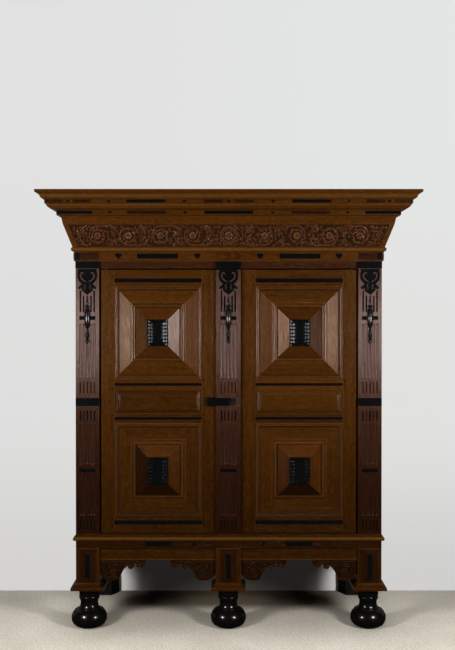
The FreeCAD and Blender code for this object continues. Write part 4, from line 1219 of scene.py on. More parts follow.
@dataclass(frozen=True)
class Finishes:
    """Every finish of the cupboard."""

    oak: Material
    oak_low: Material
    oak_red: Material
    carved: Material
    carved_low: Material
    shaded_carving_ground: Material
    waxed: Material
    burr: Material
    pyramid: Material
    inner: Material
    pegs: Material
    ebony: Material
    rippled: Material
    rosewood: Material
    turning: Material
    iron: Material
    painted: Material

    @classmethod
    def build(cls) -> "Finishes":
        """Make each finish once.

        Returns:
            The finishes.
        """
        effects = Effects.build()
        oak = WoodFinish("honey oak", (0.074, 0.0245, 0.0024), (0.026, 0.0077, 0.0009),
            (0.055, 0.0152, 0.0020), (0.13, 0.052, 0.0110), gloss=0.09)
        low = WoodFinish("dark oak", (0.033, 0.0106, 0.0020), (0.011, 0.0034, 0.0009),
            (0.023, 0.0062, 0.0016), (0.07, 0.028, 0.007), age=0.35)
        red = WoodFinish("reddish oak", (0.050, 0.0134, 0.0034), (0.014, 0.0038, 0.0013),
            (0.044, 0.0098, 0.0028), (0.10, 0.040, 0.013), dirt_and_shade=1, reach=0.010, rough=0.30,
            gloss=0.30, brushed=0.85, age=0.62, amber=(1, 0.74, 0.68))
        carved = WoodFinish("carved oak", (0.112, 0.0390, 0.0125), (0.041, 0.0128, 0.0042),
            (0.048, 0.0120, 0.0042), (0.15, 0.060, 0.020), figure=0.2, rub=0.7, dirt_and_shade=0.95,
            reach=0.008, rough=0.19, spread=0.05, gloss=0.2, brushed=0, amber=(1, 0.76, 0.62))
        # The sunk ground of the carving is darker: painted shade in the recesses between the
        # leaves.
        ground = replace(carved, name="carved ground with painted shade", light=(0.026, 0.0096, 0.0038),
            dark=(0.012, 0.0046, 0.0020), red=(0.019, 0.0066, 0.0028), gloss=0.03)
        shaded = replace(carved, name="dark carved oak", light=low.light, dark=low.dark,
            red=low.red, rubbed=(0.06, 0.023, 0.008), rub=0.4, gloss=0.08)
        waxed = replace(oak, name="moulding oak", gloss=0.2, rough=0.22, dirt_and_shade=0.95, reach=0.006,
            amber=(1, 0.76, 0.64))
        burr = replace(oak, name="burr oak", figure=0.9, ring=0.0035)
        pyramid = replace(oak, name="panel oak", light=(0.064, 0.0194, 0.0024),
            red=(0.052, 0.0124, 0.0022), gloss=0.118, amber=(1, 0.80, 0.72))
        inner = WoodFinish("inner oak", (0.115, 0.060, 0.024), (0.050, 0.024, 0.010),
            (0.080, 0.034, 0.013), (0.17, 0.10, 0.046), rough=0.62, dirt_and_shade=0.6, relief=0.8)
        pegs = WoodFinish("pegs", (0.006, 0.0028, 0.0014), (0.003, 0.0014, 0.0008),
            (0.004, 0.002, 0.001), (0.012, 0.006, 0.003), rough=0.5)
        rosewood = WoodFinish("rosewood", (0.026, 0.0072, 0.0028), (0.009, 0.0028, 0.0016),
            (0.021, 0.0050, 0.0024), (0.05, 0.018, 0.008), figure=0.5, ring=0.004)
        ebony = PolishFinish("ebony", (0.0022, 0.0021, 0.0025), (0.0034, 0.0030, 0.0032),
            (0.02, 0.015, 0.012), rough=0.19, spread=0.10, coat=0, gloss=0.12, relief=0.05)
        rippled = replace(ebony, name="rippled ebony", gloss=0.18)
        turning = PolishFinish("black turning", (0.0024, 0.0020, 0.0018), (0.0050, 0.0036, 0.0028),
            (0.030, 0.014, 0.007), rough=0.24, spread=0.15, coat=0.3, rub=0.4, gloss=0.15)
        iron = PolishFinish("old iron", (0.030, 0.028, 0.027), (0.016, 0.013, 0.011),
            (0.32, 0.31, 0.28), rough=0.34, spread=0.3, coat=0, metal=0.9, rub=0.9, relief=0.6,
            stretch=(12, 12, 12))
        painted = PolishFinish("black paint", (0.0045, 0.004, 0.0038), (0.012, 0.009, 0.007),
            (0.04, 0.02, 0.010), rough=0.5, coat=0, gloss=0.1)
        return cls(*(finish.build(effects) for finish in (
            oak, low, red, carved, shaded, ground, waxed, burr, pyramid, inner, pegs, ebony,
            rippled, rosewood, turning, iron, painted)))


# ---------- base


@dataclass(frozen=True)
class BallFoot:
    """A squashed ball under a flared neck."""

    profile: Pairs = (
        (0, 0), (46, 0), (51, 1.2), (62, 5), (73, 12), (80.5, 21), (85, 32), (86.2, 42),
        (85.4, 52), (82.5, 62), (78, 71), (71.5, 79.5), (69, 82), (67.2, 82.6), (64.5, 81.2),
        (60, 82.2), (56, 84.2), (54.2, 86), (52.6, 90), (48.4, 95), (44.6, 101.5),
        (42.4, 109), (41.8, 117), (42.6, 125), (44.8, 132), (47.4, 136.6), (48.8, 138.4),
        (49.4, 141), (49.4, 147), (48.2, 149.4), (46.4, 150.2), (46.2, 152), (48, 153.4),
        (49.2, 156), (49.2, 186), (48.2, 189), (47.5, 190), (14, 190), (14, 215), (0, 215))

    def build(self, x: float, y: float) -> Object:
        """Turn the foot at a place."""
        return lathe(self.profile, (x, y, 0), steps=64)


@dataclass(frozen=True)
class Tablet:
    """A raised tablet on a base post, sloping up to a black bar."""

    width: float = 76
    low: float = 226
    high: float = 387
    back: float = -229.5
    edge: float = -231.5
    steps: Pairs = (
        (0.8, 0.6), (2.2, 0.9), (1.6, 0.1), (1.4, -0.6), (1.2, 0), (9.6, 0.9), (0.8, -0.5),
        (1.6, 0), (7.6, 3), (0.8, 0.1))

    def build(self, x: float) -> Object:
        """Work the tablet at a place."""
        return raised_board((x - self.width / 2, self.edge, self.low),
            (x + self.width / 2, self.back, self.high), self.steps)


@dataclass(frozen=True)
class Leaf:
    """A carved leaf with a sunk rib and a lobed edge, lying along x."""

    length: float = 34
    width: float = 8
    lobes: int = 3
    lift: float = 4
    curl: float = 60
    depth: float = 2

    def shape(self, u: float, v: float) -> Point:
        """Work out one point of the leaf.

        Args:
            u: Its place along the leaf, from 0 to 1.
            v: Its place across it.

        Returns:
            The point.
        """
        s = 2 * v - 1
        edge = math.sin(math.pi * min(0.97, 0.08 + 0.92 * u) ** 0.75) ** 0.7
        lobe = 1 + 0.22 * math.cos(2 * math.pi * self.lobes * u + 2.2)
        half = self.width * edge * lobe
        arch = (1 - s * s) ** 0.6 if abs(s) < 1 else 0
        rib = 0.45 * math.exp(-(s / 0.22) ** 2)
        rise = self.lift * (0.35 + 0.65 * math.sin(math.pi * u ** 0.8)) * (arch - rib * arch)
        rise += 0.25 * self.lift * math.cos(2 * math.pi * self.lobes * u) * arch * abs(s)
        angle = math.radians(self.curl) * max(u, 1e-3)
        reach = self.length * math.sin(angle) / angle * u
        side = self.length * (1 - math.cos(angle)) / angle * u
        return (reach - half * s * math.sin(angle), side + half * s * math.cos(angle), rise)

    def build(self) -> Object:
        """Carve the leaf flat on the ground.

        Returns:
            The leaf.
        """
        leaf = close_back(worked_sheet(8, 4, self.shape), Vector((0, 0, -self.depth * MM)), 2)
        shade(50)
        return leaf


@dataclass(frozen=True)
class Rosette:
    """A carved flower with a round heart."""

    radius: float = 19
    petals: int = 7
    lift: float = 5.5
    depth: float = 2

    def shape(self, u: float, v: float) -> Point:
        """Work out one point of the flower.

        Args:
            u: Its place round the flower, from 0 to 1.
            v: Its place from the middle out.

        Returns:
            The point.
        """
        angle = 2 * math.pi * u
        petal = abs(math.cos(self.petals * angle / 2))
        edge = self.radius * (0.72 + 0.28 * petal ** 0.6)
        r = edge * v
        t = r / self.radius
        if t < 0.3:
            rise = self.lift * (0.75 + 0.45 * math.cos(t / 0.3 * math.pi / 2))
        else:
            bowl = math.sin(min(1, (t - 0.3) / 0.7) * math.pi) ** 0.7
            rise = self.lift * (0.25 + 0.6 * bowl * (0.35 + 0.65 * petal))
        return (r * math.cos(angle), r * math.sin(angle), max(0, rise * (1 - 0.3 * v)))

    def build(self) -> Object:
        """Carve the flower flat on the ground.

        Returns:
            The flower.
        """
        sheet = worked_sheet(self.petals * 5, 6, self.shape)
        edit_whole(sheet)
        weld()
        face_outward()
        flower = close_back(done(sheet), Vector((0, 0, -self.depth * MM)), 2)
        shade(60)
        return flower


@dataclass(frozen=True)
class Bracket:
    """The scrolls of an apron bracket, from the post outwards and from the rail down."""

    volute: Pair = (60, -56)
    contour: Pairs = (
        (7, -62), (14, -78), (30, -88), (52, -93), (72, -94), (86, -90), (94, -79), (103, -60),
        (113, -44), (124, -32), (136, -23), (148, -20))
    scrolls: tuple[tuple[Pair, float, float], ...] = (((147, -33), 12.5, 85),
        ((193, -23), 11.5, 120))
    rail: Pairs = ((8, -8), (60, -7.5), (120, -8), (160, -8), (188, -9))
    leaves: Rows = ((30, -16, -75, 0.8), (96, -14, -150, 0.8), (104, -20, -60, 0.7),
        (24, -78, 60, 0.6), (92, -66, 120, 0.6), (128, -14, -25, 0.55))
    beads: Rows = ((60, -56, 8), (147, -33, 6), (193, -23, 5.5))

    def build(self) -> Object:
        """Carve the scrolls flat on the ground.

        Returns:
            The carving.
        """
        contour, rail = smooth_line(self.contour, 5), smooth_line(self.rail, 4)
        stems = [(spiral(self.volute, 31, 6, -75, 2.1, 60),
            [4.8 - 2.4 * i / 60 for i in range(61)]), (contour, [4.4] * len(contour))]
        stems += [(spiral(centre, size, 3, first, -1.25, 30), [4.4 - 0.05 * i for i in range(31)])
            for centre, size, first in self.scrolls]
        stems.append((rail, [3.4] * len(rail)))
        parts = [rope(line, radii, 3, 1) for line, radii in stems]
        leaf = Leaf(42, 9, 3, 5.5, -40).build()
        parts += [copied(leaf, laid(*place)) for place in self.leaves]
        bpy.data.objects.remove(leaf)
        return join(parts + [bead(*place) for place in self.beads])


@dataclass
class Base:
    """Feet, pads, posts, frieze, apron and its carved brackets."""

    finishes: Finishes
    foot_columns: tuple[float, ...] = (-680.5, -1.5, 680.5)
    foot_row: float = -173.5
    post_columns: Pairs = ((-737, -624), (-61, 58), (624, 737))
    post_levels: Pair = (222, 391)
    post_rows: Pair = (-230, -117)
    bracket_top: float = 331
    bracket_ground: float = -213.8
    bracket_inset: Pairs = ((3.2, 0), (1.2, -2.6))
    bracket_corners: tuple[tuple[float, int], ...] = ((-624, 1), (-61, -1), (58, 1), (624, -1))

    def build(self) -> None:
        """Make every piece of the base."""
        self.feet()
        self.posts()
        self.boards()
        self.brackets()

    def feet(self) -> None:
        """Turn three feet, and saw two blocks whose fronts are painted black."""
        f = self.finishes
        for x, side in zip(self.foot_columns, ("left", "centre", "right")):
            deliver(BallFoot().build(x, self.foot_row), f"turned_foot_{side}", Body.CARCASE,
                Slot.TURNING, f.turning, [f"foot_front_{side}"])
        for side in ("left", "right"):
            foot = planed(f"foot_rear_{side}", f"block_foot_{side}", Body.CARCASE, Slot.INNER_OAK,
                f.inner, Grain.UPRIGHT, width=1.6)
            foot.data.materials.append(f.painted)
            for face in foot.data.polygons:
                face.material_index = 1 if face.normal.y < -0.4 else 0

    def posts(self) -> None:
        """Make the posts and their tablets."""
        (front, back), (low, high) = self.post_rows, self.post_levels
        posts = [soften(block((left, front, low), (right, back, high)), 1.2)
            for left, right in self.post_columns]
        deliver(join(posts), "base_post_blocks", Body.CARCASE, Slot.OAK, self.finishes.oak,
            ["base_posts"], Grain.UPRIGHT)
        tablets = [Tablet().build((left + right) / 2) for left, right in self.post_columns]
        deliver(soften(join(tablets), 0.25, 1, 25), "base_tablets", Body.CARCASE, Slot.OAK,
            self.finishes.oak_low, grain=Grain.MITRE)

    def boards(self) -> None:
        """Plane the boards and mouldings of the base."""
        f = self.finishes
        for node, name, slot, finish, grain, width in (
                ("base_pads", "foot_pads", Slot.OAK, f.oak, Grain.ACROSS, 0.8),
                ("base_frieze", "base_frieze_boards", Slot.OAK, f.oak_low, Grain.RUN, 0.9),
                ("base_sides", "base_side_boards", Slot.OAK, f.oak_low, Grain.ALONG, 0.9),
                ("apron_rails", "apron_rail_boards", Slot.OAK, f.oak, Grain.ALONG, 0.7),
                ("base_back_rail", "base_back_boards", Slot.INNER_OAK, f.inner, Grain.ALONG,
                 0.9)):
            planed(node, name, Body.CARCASE, slot, finish, grain, width=width)
        planed("base_inlays", "base_ebony", Body.CARCASE, Slot.EBONY, f.ebony, width=0.3, steps=1)

    def brackets(self) -> None:
        """Carve the four scrolled brackets: a sawn ground and the scrolls on it."""
        ground = sound("apron_brackets")
        pick_faces(ground, lambda face: face.normal.y < -0.9)
        inset(self.bracket_inset)
        deliver(soften(done(ground), 0.6, 2, 30, clamp=False), "bracket_boards", Body.CARCASE,
            Slot.OAK, self.finishes.oak_low, ["apron_brackets"], Grain.ALONG)
        master = Bracket().build()
        upright = Matrix.Rotation(QUARTER, 4, "X")
        copies = []
        for x, side in self.bracket_corners:
            place = Matrix.Translation(mm(x, self.bracket_ground, self.bracket_top))
            copies.append(copied(master, place @ Matrix.Scale(side, 4, (1, 0, 0)) @ upright))
        bpy.data.objects.remove(master)
        deliver(join(copies), "bracket_carving", Body.CARCASE, Slot.OAK, self.finishes.carved_low,
            grain=Grain.ACROSS)


# ---------- carcase


@dataclass
class Carcase:
    """Posts, rails, panels, boards and shelves."""

    finishes: Finishes

    def build(self) -> None:
        """Make every board of the carcase."""
        f = self.finishes
        oak, inner = (Slot.OAK, f.oak), (Slot.INNER_OAK, f.inner)
        work = (
            ("waist_moulding", "waist_run", oak, Grain.RUN, 0.7),
            ("bottom_boards", "floor_boards", (Slot.INNER_OAK, f.oak), Grain.ALONG, 0.8),
            ("front_posts", "corner_posts", oak, Grain.UPRIGHT, 1.2),
            ("rear_posts", "back_posts", (Slot.OAK, f.oak_low), Grain.UPRIGHT, 1.4),
            ("side_rails", "side_rail_boards", oak, Grain.ALONG, 1),
            ("side_panels", "side_panel_boards", oak, Grain.UPRIGHT, 0.6),
            ("back_boards", "back_planks", inner, Grain.UPRIGHT, 1),
            ("shelf_cleats", "shelf_battens", inner, Grain.ALONG, 1),
            ("shelf_lower", "lower_shelf", inner, Grain.ALONG, 1.2),
            ("shelf_middle", "middle_shelf", inner, Grain.ALONG, 1.2),
            ("shelf_upper", "upper_shelf", inner, Grain.ALONG, 1.2),
            ("lintel", "lintel_board", (Slot.RED_OAK, f.oak_red), Grain.ALONG, 0.9),
            ("carcase_top", "carcase_top_planks", inner, Grain.ALONG, 1),
            ("top_boards", "cornice_top_planks", inner, Grain.ALONG, 1))
        for node, name, looks, grain, width in work:
            piece = soften(sound(node), width)
            if node == "back_boards":
                piece = join([piece, *self.laps(node)])
            deliver(piece, name, Body.CARCASE, *looks, [node], grain)

    @staticmethod
    def laps(node: str) -> list[Object]:
        """Make the tongues that close the joints between upright planks.

        Args:
            node: The solid of the planks.

        Returns:
            One tongue for each joint.
        """
        planks = sound(node)
        boxes = board_boxes(planks.data, part_numbers(planks.data)).values()
        bpy.data.objects.remove(planks)
        boxes = sorted(((low / MM, high / MM) for low, high in boxes
            if 0.2 < (high - low).x < 0.6), key=lambda box: box[0].x)
        edges = [low.x for low, _ in boxes] + [boxes[-1][1].x]
        low, high = boxes[0]
        middle = (low.y + high.y) / 2
        return [block((x - 4.5, middle - 1.5, low.z + 1), (x + 4.5, middle + 1.5, high.z - 1))
            for x in edges]


# ---------- pilasters


@dataclass(frozen=True)
class Cartouche:
    """A fretted ebony shield of scrolls, pierced by a heart."""

    height: float = 124
    thickness: float = 5
    edge: Pairs = (
        (41.5, -7.5), (43.8, -13), (45.6, -23), (46, -34), (44.2, -46), (39.6, -56),
        (32.4, -64), (26.4, -70), (29, -75.5), (33.6, -80.5), (38.4, -84.5), (42.4, -86),
        (42, -91.5), (38.2, -95.6), (33.4, -94.6), (29.8, -90), (26, -87.4), (24.6, -91),
        (25.2, -98), (22.4, -105), (15.6, -111), (8.6, -116), (3.2, -120))
    heart: Pairs = (
        (14.5, -26.5), (17, -21), (22, -17.4), (28, -19.4), (31.6, -27), (31.8, -37),
        (27.4, -46.5), (19, -54), (9, -59.6), (3.6, -63))
    lower: Pairs = (
        (7.4, -69), (12, -74), (14, -81), (11.4, -88), (12.8, -95), (16.6, -100))

    def outline(self) -> list[Vector]:
        """Draw the outer edge, from the middle of the top round and back.

        Returns:
            The outline.
        """
        half = smooth_line(self.edge, 4)
        right = [Vector((44, 0)), Vector((44, -6)), *half]
        left = [Vector((-p.x, p.y)) for p in reversed(right)]
        return [*right, Vector((0, -self.height)), *left]

    def build(self, x: float, top: float, face: float) -> Object:
        """Saw the shield and fix it to a pilaster.

        Args:
            x: The middle of the pilaster.
            top: The level of its top edge.
            face: The y of the pilaster's face.

        Returns:
            The shield.
        """
        holes = []
        for points, half in ((self.heart, 4.4), (self.lower, 3.7)):
            band = band_outline(smooth_line(points, 4), half)
            holes += [band, [Vector((-p.x, p.y)) for p in band]]
        plate = fretwork([self.outline(), *holes], self.thickness, 0.6)
        return stand_up(plate, x, face - self.thickness / 2, top)


@dataclass(frozen=True)
class Pendant:
    """A split turning under a cartouche."""

    top: float = 1609
    profile: Pairs = (
        (0, 0), (2.6, 0), (3.4, 3), (3.4, 8), (4.2, 18), (5.4, 30), (6, 40), (5.6, 44),
        (4.6, 46), (9, 47), (11.8, 49), (12.6, 51.5), (11.4, 54), (8.6, 55.4), (6, 57),
        (6.2, 60), (8.8, 62), (10.6, 66), (12.2, 76), (13.4, 90), (13.9, 100), (13.1, 101),
        (13.1, 102.6), (14, 103.6), (13.8, 116), (12.8, 130), (10.8, 143), (8, 152),
        (5.6, 157), (4.4, 160), (4.6, 163), (6.4, 166), (7.6, 170.5), (7.2, 175), (5.4, 178.5),
        (5, 180), (8, 181.4), (10.4, 183.4), (10.6, 186), (9.6, 188), (9.4, 190), (9, 196),
        (8.2, 201), (6.6, 205), (5.4, 207.6), (6.2, 209.4), (8.6, 212), (10.2, 216.6),
        (10, 221), (8, 225), (4.6, 227), (0, 227.6))

    def build(self, x: float, face: float) -> Object:
        """Turn the pendant, split it and glue its half to the pilaster."""
        profile = [(r, self.top - drop) for r, drop in reversed(self.profile)]
        return lathe(profile, (x, face, 0), 180, 24)


@dataclass
class Pilasters:
    """Fluted pilasters with their caps, cartouches, pendants and inlays."""

    finishes: Finishes
    side_columns: Pair = (-680.5, 680.5)
    centre_column: float = -1.5
    face: float = -230
    cartouche_top: float = 1737
    pitch: float = 17
    red_levels: Pairs = ((1000, 1060), (475, 535))
    pale_levels: Pair = (1130, 1200)
    short: Pair = (12, 70)

    def build(self) -> None:
        """Make every piece of the three pilasters."""
        f = self.finishes
        columns = {Body.CARCASE: self.side_columns, Body.DOOR_LEFT: (self.centre_column,)}
        for node, name, body in (("pilaster_boards", "side_pilasters", Body.CARCASE),
                                 ("centre_pilaster", "door_pilaster", Body.DOOR_LEFT)):
            planed(node, name, body, Slot.RED_OAK, f.oak_red, Grain.UPRIGHT, width=0.6, steps=1,
                sharp=45, clamp=False)
        planed("pilaster_caps", "cap_blocks", Body.CARCASE, Slot.EBONY, f.ebony, width=1)
        for node, name, body in (("side_cartouches", "fretted_shields", Body.CARCASE),
                                 ("centre_cartouche", "fretted_shield_centre", Body.DOOR_LEFT)):
            shields = [Cartouche().build(x, self.cartouche_top, self.face) for x in columns[body]]
            deliver(join(shields), name, body, Slot.EBONY, f.ebony, [node])
        for node, name, body in (("side_pendants", "split_turnings", Body.CARCASE),
                                 ("centre_pendant", "split_turning_centre", Body.DOOR_LEFT)):
            turnings = [Pendant().build(x, self.face) for x in columns[body]]
            deliver(join(turnings), name, body, Slot.EBONY, f.turning, [node])
        for node, name, body in (("side_inlays", "side_inlay_strips", Body.CARCASE),
                                 ("centre_inlays", "centre_inlay_strips", Body.DOOR_LEFT)):
            self.inlays(node, name, body)

    def inlays(self, node: str, name: str, body: Body) -> None:
        """Lay the short strips, every other one of rosewood and some of oak.

        Args:
            node: The solids that they stand for.
            name: The piece's name.
            body: The body that it rides on.
        """
        f = self.finishes
        strips = planed(node, name, body, Slot.EBONY, f.ebony, Grain.UPRIGHT, width=0.25, steps=1)
        for finish in (f.rosewood, f.oak_low):
            strips.data.materials.append(finish)
        numbers = part_numbers(strips.data)
        boxes = board_boxes(strips.data, numbers)
        for face, number in zip(strips.data.polygons, numbers):
            face.material_index = self.inlay_kind(*boxes[number])

    def inlay_kind(self, low: Vector, high: Vector) -> int:
        """Choose the wood of one strip.

        Args:
            low: The strip's lowest corner.
            high: Its highest corner.

        Returns:
            0 for ebony, 1 for rosewood, 2 for oak.
        """
        if high.x - low.x > self.short[0] * MM or high.z - low.z > self.short[1] * MM:
            return 0
        middle = (low + high) / 2 / MM
        column = min((*self.side_columns, self.centre_column), key=lambda c: abs(c - middle.x))
        place = round((middle.x - column) / self.pitch)
        if self.pale_levels[0] < middle.z < self.pale_levels[1]:
            return 1 if place < 1 and column != self.centre_column else 2
        if any(a < middle.z < b for a, b in self.red_levels):
            return 1 if place % 2 else 0
        return 0


# ---------- cornice


@dataclass
class FriezeGround:
    """The hollow face that the frieze is carved on."""

    node: str = "cornice_frieze"
    low: float = 1842

    def __post_init__(self) -> None:
        """Read the hollow's line from the solid."""
        levels: dict[float, float] = {}
        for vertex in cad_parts[self.node].data.vertices:
            level = round(vertex.co.z / MM, 2)
            levels[level] = min(levels.get(level, 1e9), vertex.co.y / MM)
        self.line = sorted(levels.items())

    def depth(self, z: float) -> float:
        """Find the y of the hollow.

        Args:
            z: The level.

        Returns:
            The y there.
        """
        for (z0, y0), (z1, y1) in zip(self.line, self.line[1:]):
            if z <= z1:
                return y0 + (y1 - y0) * max(0, z - z0) / (z1 - z0)
        return self.line[-1][1]

    def bend(self, piece: Object) -> Object:
        """Lay flat carving on the hollow.

        Args:
            piece: Carving made flat: along x, up the frieze as y, its relief as z.

        Returns:
            The same object.
        """
        for vertex in piece.data.vertices:
            x, v, rise = (c / MM for c in vertex.co)
            z = self.low + v
            slope = (self.depth(z + 2) - self.depth(z - 2)) / 4
            size = math.hypot(1, slope)
            vertex.co = mm(x, self.depth(z) - rise / size, z + rise * slope / size)
        return piece


@dataclass
class FriezeCarving:
    """Scrolling foliage with flowers, carved between plain borders."""

    finish: Material
    shaded_ground_finish: Material
    scroll_columns: tuple[float, ...] = (172, 326, 480, 626)
    radius: float = 49
    middle: float = 53.5
    end: float = 715
    spacing: float = 14.5
    field: Pair = (6, 100)
    slant: float = 0.42
    margin: float = 6
    rows: int = 6
    beads: float = 38.5
    stem: Pairs = ((-92, -20), (-80, -36), (-62, -46), (-44, -45))
    buds: Pairs = ((-78, 24), (-77, -10), (-64, 41))

    def build(self) -> None:
        """Carve the whole frieze."""
        leaves = [Leaf(27, 6, 2, 8, 65).build(), Leaf(22, 5.4, 1, 7.4, -45).build(),
            Leaf(18, 6, 2, 7.6, 25).build()]
        flowers = [Rosette(19, 7, 11).build(), Rosette(13.5, 6, 9).build()]
        ground, parts = self.ground(), []
        for side in (1, -1):
            half = []
            for i, x in enumerate(self.scroll_columns):
                half += self.scroll(x, 1 if i % 2 == 0 else -1, flowers)
            half += self.end_stems()
            if side < 0:
                for part in half:
                    part.data.transform(Matrix.Scale(-1, 4, (1, 0, 0)))
                    part.data.flip_normals()
            parts += half
        parts += self.wreath(flowers[0]) + self.foliage(leaves)
        for master in (*leaves, *flowers):
            bpy.data.objects.remove(master)
        hollow = FriezeGround()
        deliver(hollow.bend(ground), "frieze_ground", Body.CARCASE, Slot.OAK, self.shaded_ground_finish,
            grain=Grain.ACROSS)
        deliver(hollow.bend(join(parts)), "frieze_carving", Body.CARCASE, Slot.OAK, self.finish,
            grain=Grain.ACROSS)

    def reach(self, v: float) -> float:
        """How far the carving reaches to each side at a height."""
        return self.end + self.margin + v * self.slant

    def ground(self) -> Object:
        """Cut back the ground of the carving.

        Returns:
            The ground, flat.
        """
        def shape(u: float, v: float) -> Point:
            """The point of the ground at a share of its length and its height."""
            up = 2.5 + 102 * v
            return ((2 * u - 1) * self.reach(up), up, 0.5)
        return close_back(worked_sheet(60, 10, shape), Vector((0, 0, -0.6 * MM)), 2)

    def scroll(self, x: float, up: int, flowers: Sequence[Object]) -> list[Object]:
        """Carve one scroll of the stem and its flower.

        Args:
            x: The middle of the scroll.
            up: 1 where the stem comes in from below, and -1 where it comes from above.
            flowers: The flowers to copy.

        Returns:
            The parts.
        """
        stem = smooth_line([(x + dx, self.middle + up * dy) for dx, dy in self.stem], 4)
        curl = [Vector(point) for point in spiral((x, self.middle), self.radius - 3, 25, -up * 112,
            up * 1.3, 56)]
        radii = [4] * len(stem) + [4 - 1.6 * i / 56 for i in range(57)]
        parts = [rope([*stem, *curl], radii, 2, 1.25),
            copied(flowers[0], laid(x, self.middle, 20 * up, 1))]
        return parts + [copied(flowers[1], laid(x + dx, self.middle + up * dy, dx, 0.66))
            for dx, dy in self.buds]

    def end_stems(self) -> list[Object]:
        """Carve the crossing stems at the end of the frieze.

        Returns:
            The stems.
        """
        parts = []
        for up in (1, -1):
            line = smooth_line([(self.end - 36, self.middle - up * 46),
                (self.end - 14, self.middle - up * 28), (self.end + 4, self.middle + up * 6),
                (self.end + 12 + 8 * up, self.middle + up * 42)], 6)
            parts.append(rope(line, [4.4 - 0.08 * i for i in range(len(line))], 2, 1.2))
        return parts

    def wreath(self, flower: Object) -> list[Object]:
        """Carve the beaded wreath in the middle of the frieze.

        Args:
            flower: The flower to copy.

        Returns:
            The parts.
        """
        parts = [copied(flower, laid(0, self.middle, 0, 1.2)),
            rope(spiral((0, self.middle), 29, 29, 0, 1, 48), [3] * 49, 2, 1.2)]
        for k in range(20):
            angle = math.radians(k * 18)
            parts.append(bead(self.beads * math.cos(angle), self.middle
                + self.beads * math.sin(angle), 5))
        return parts

    def foliage(self, leaves: Sequence[Object]) -> list[Object]:
        """Fill the ground between the stems with leaves that follow the scrolls.

        Args:
            leaves: The leaves to copy.

        Returns:
            The copies.
        """
        draw = random.Random(11)
        centres = [side * x for x in self.scroll_columns for side in (-1, 1)] + [0]
        parts = []
        for row in range(self.rows):
            v = 10 + row * 86 / (self.rows - 1)
            for k in range(int(2 * self.reach(v) / self.spacing)):
                x = -self.reach(v) + (k + 0.5 + 0.5 * (row % 2)) * self.spacing
                x += draw.uniform(-3, 3)
                y = v + draw.uniform(-3, 3)
                centre = min(centres, key=lambda c: abs(c - x))
                dx, dy = x - centre, y - self.middle
                r = math.hypot(dx, dy)
                taken = r < 21 or (r < 44 if centre == 0 else abs(r - self.radius + 4) < 5)
                if taken or abs(x) > self.reach(v) - 9:
                    continue
                swirl = 1 if centres.index(centre) % 4 < 2 else -1
                turn = math.degrees(math.atan2(dy, dx)) + swirl * draw.uniform(40, 120)
                size, flip = draw.uniform(0.75, 1.08), draw.random() < 0.5
                leaf = leaves[draw.randrange(3)]
                free = [t for t in (turn, turn + 180, turn + 90) if self.inside(x, y, t, size)]
                if free:
                    move = laid(x, y, free[0], size)
                    if flip:
                        move = move @ Matrix.Scale(-1, 4, (0, 1, 0))
                    parts.append(copied(leaf, move))
        return parts

    def inside(self, x: float, y: float, turn: float, size: float) -> bool:
        """Tell whether a leaf stays within the carved field.

        Args:
            x: The leaf's place.
            y: The same.
            turn: Its turn, in degrees.
            size: Its size.

        Returns:
            Whether it does.
        """
        length = 24 * size
        tip = y + length * math.sin(math.radians(turn))
        side = abs(x + length * math.cos(math.radians(turn)))
        low, high = self.field
        return low < tip < high and side < self.reach(tip) - 4


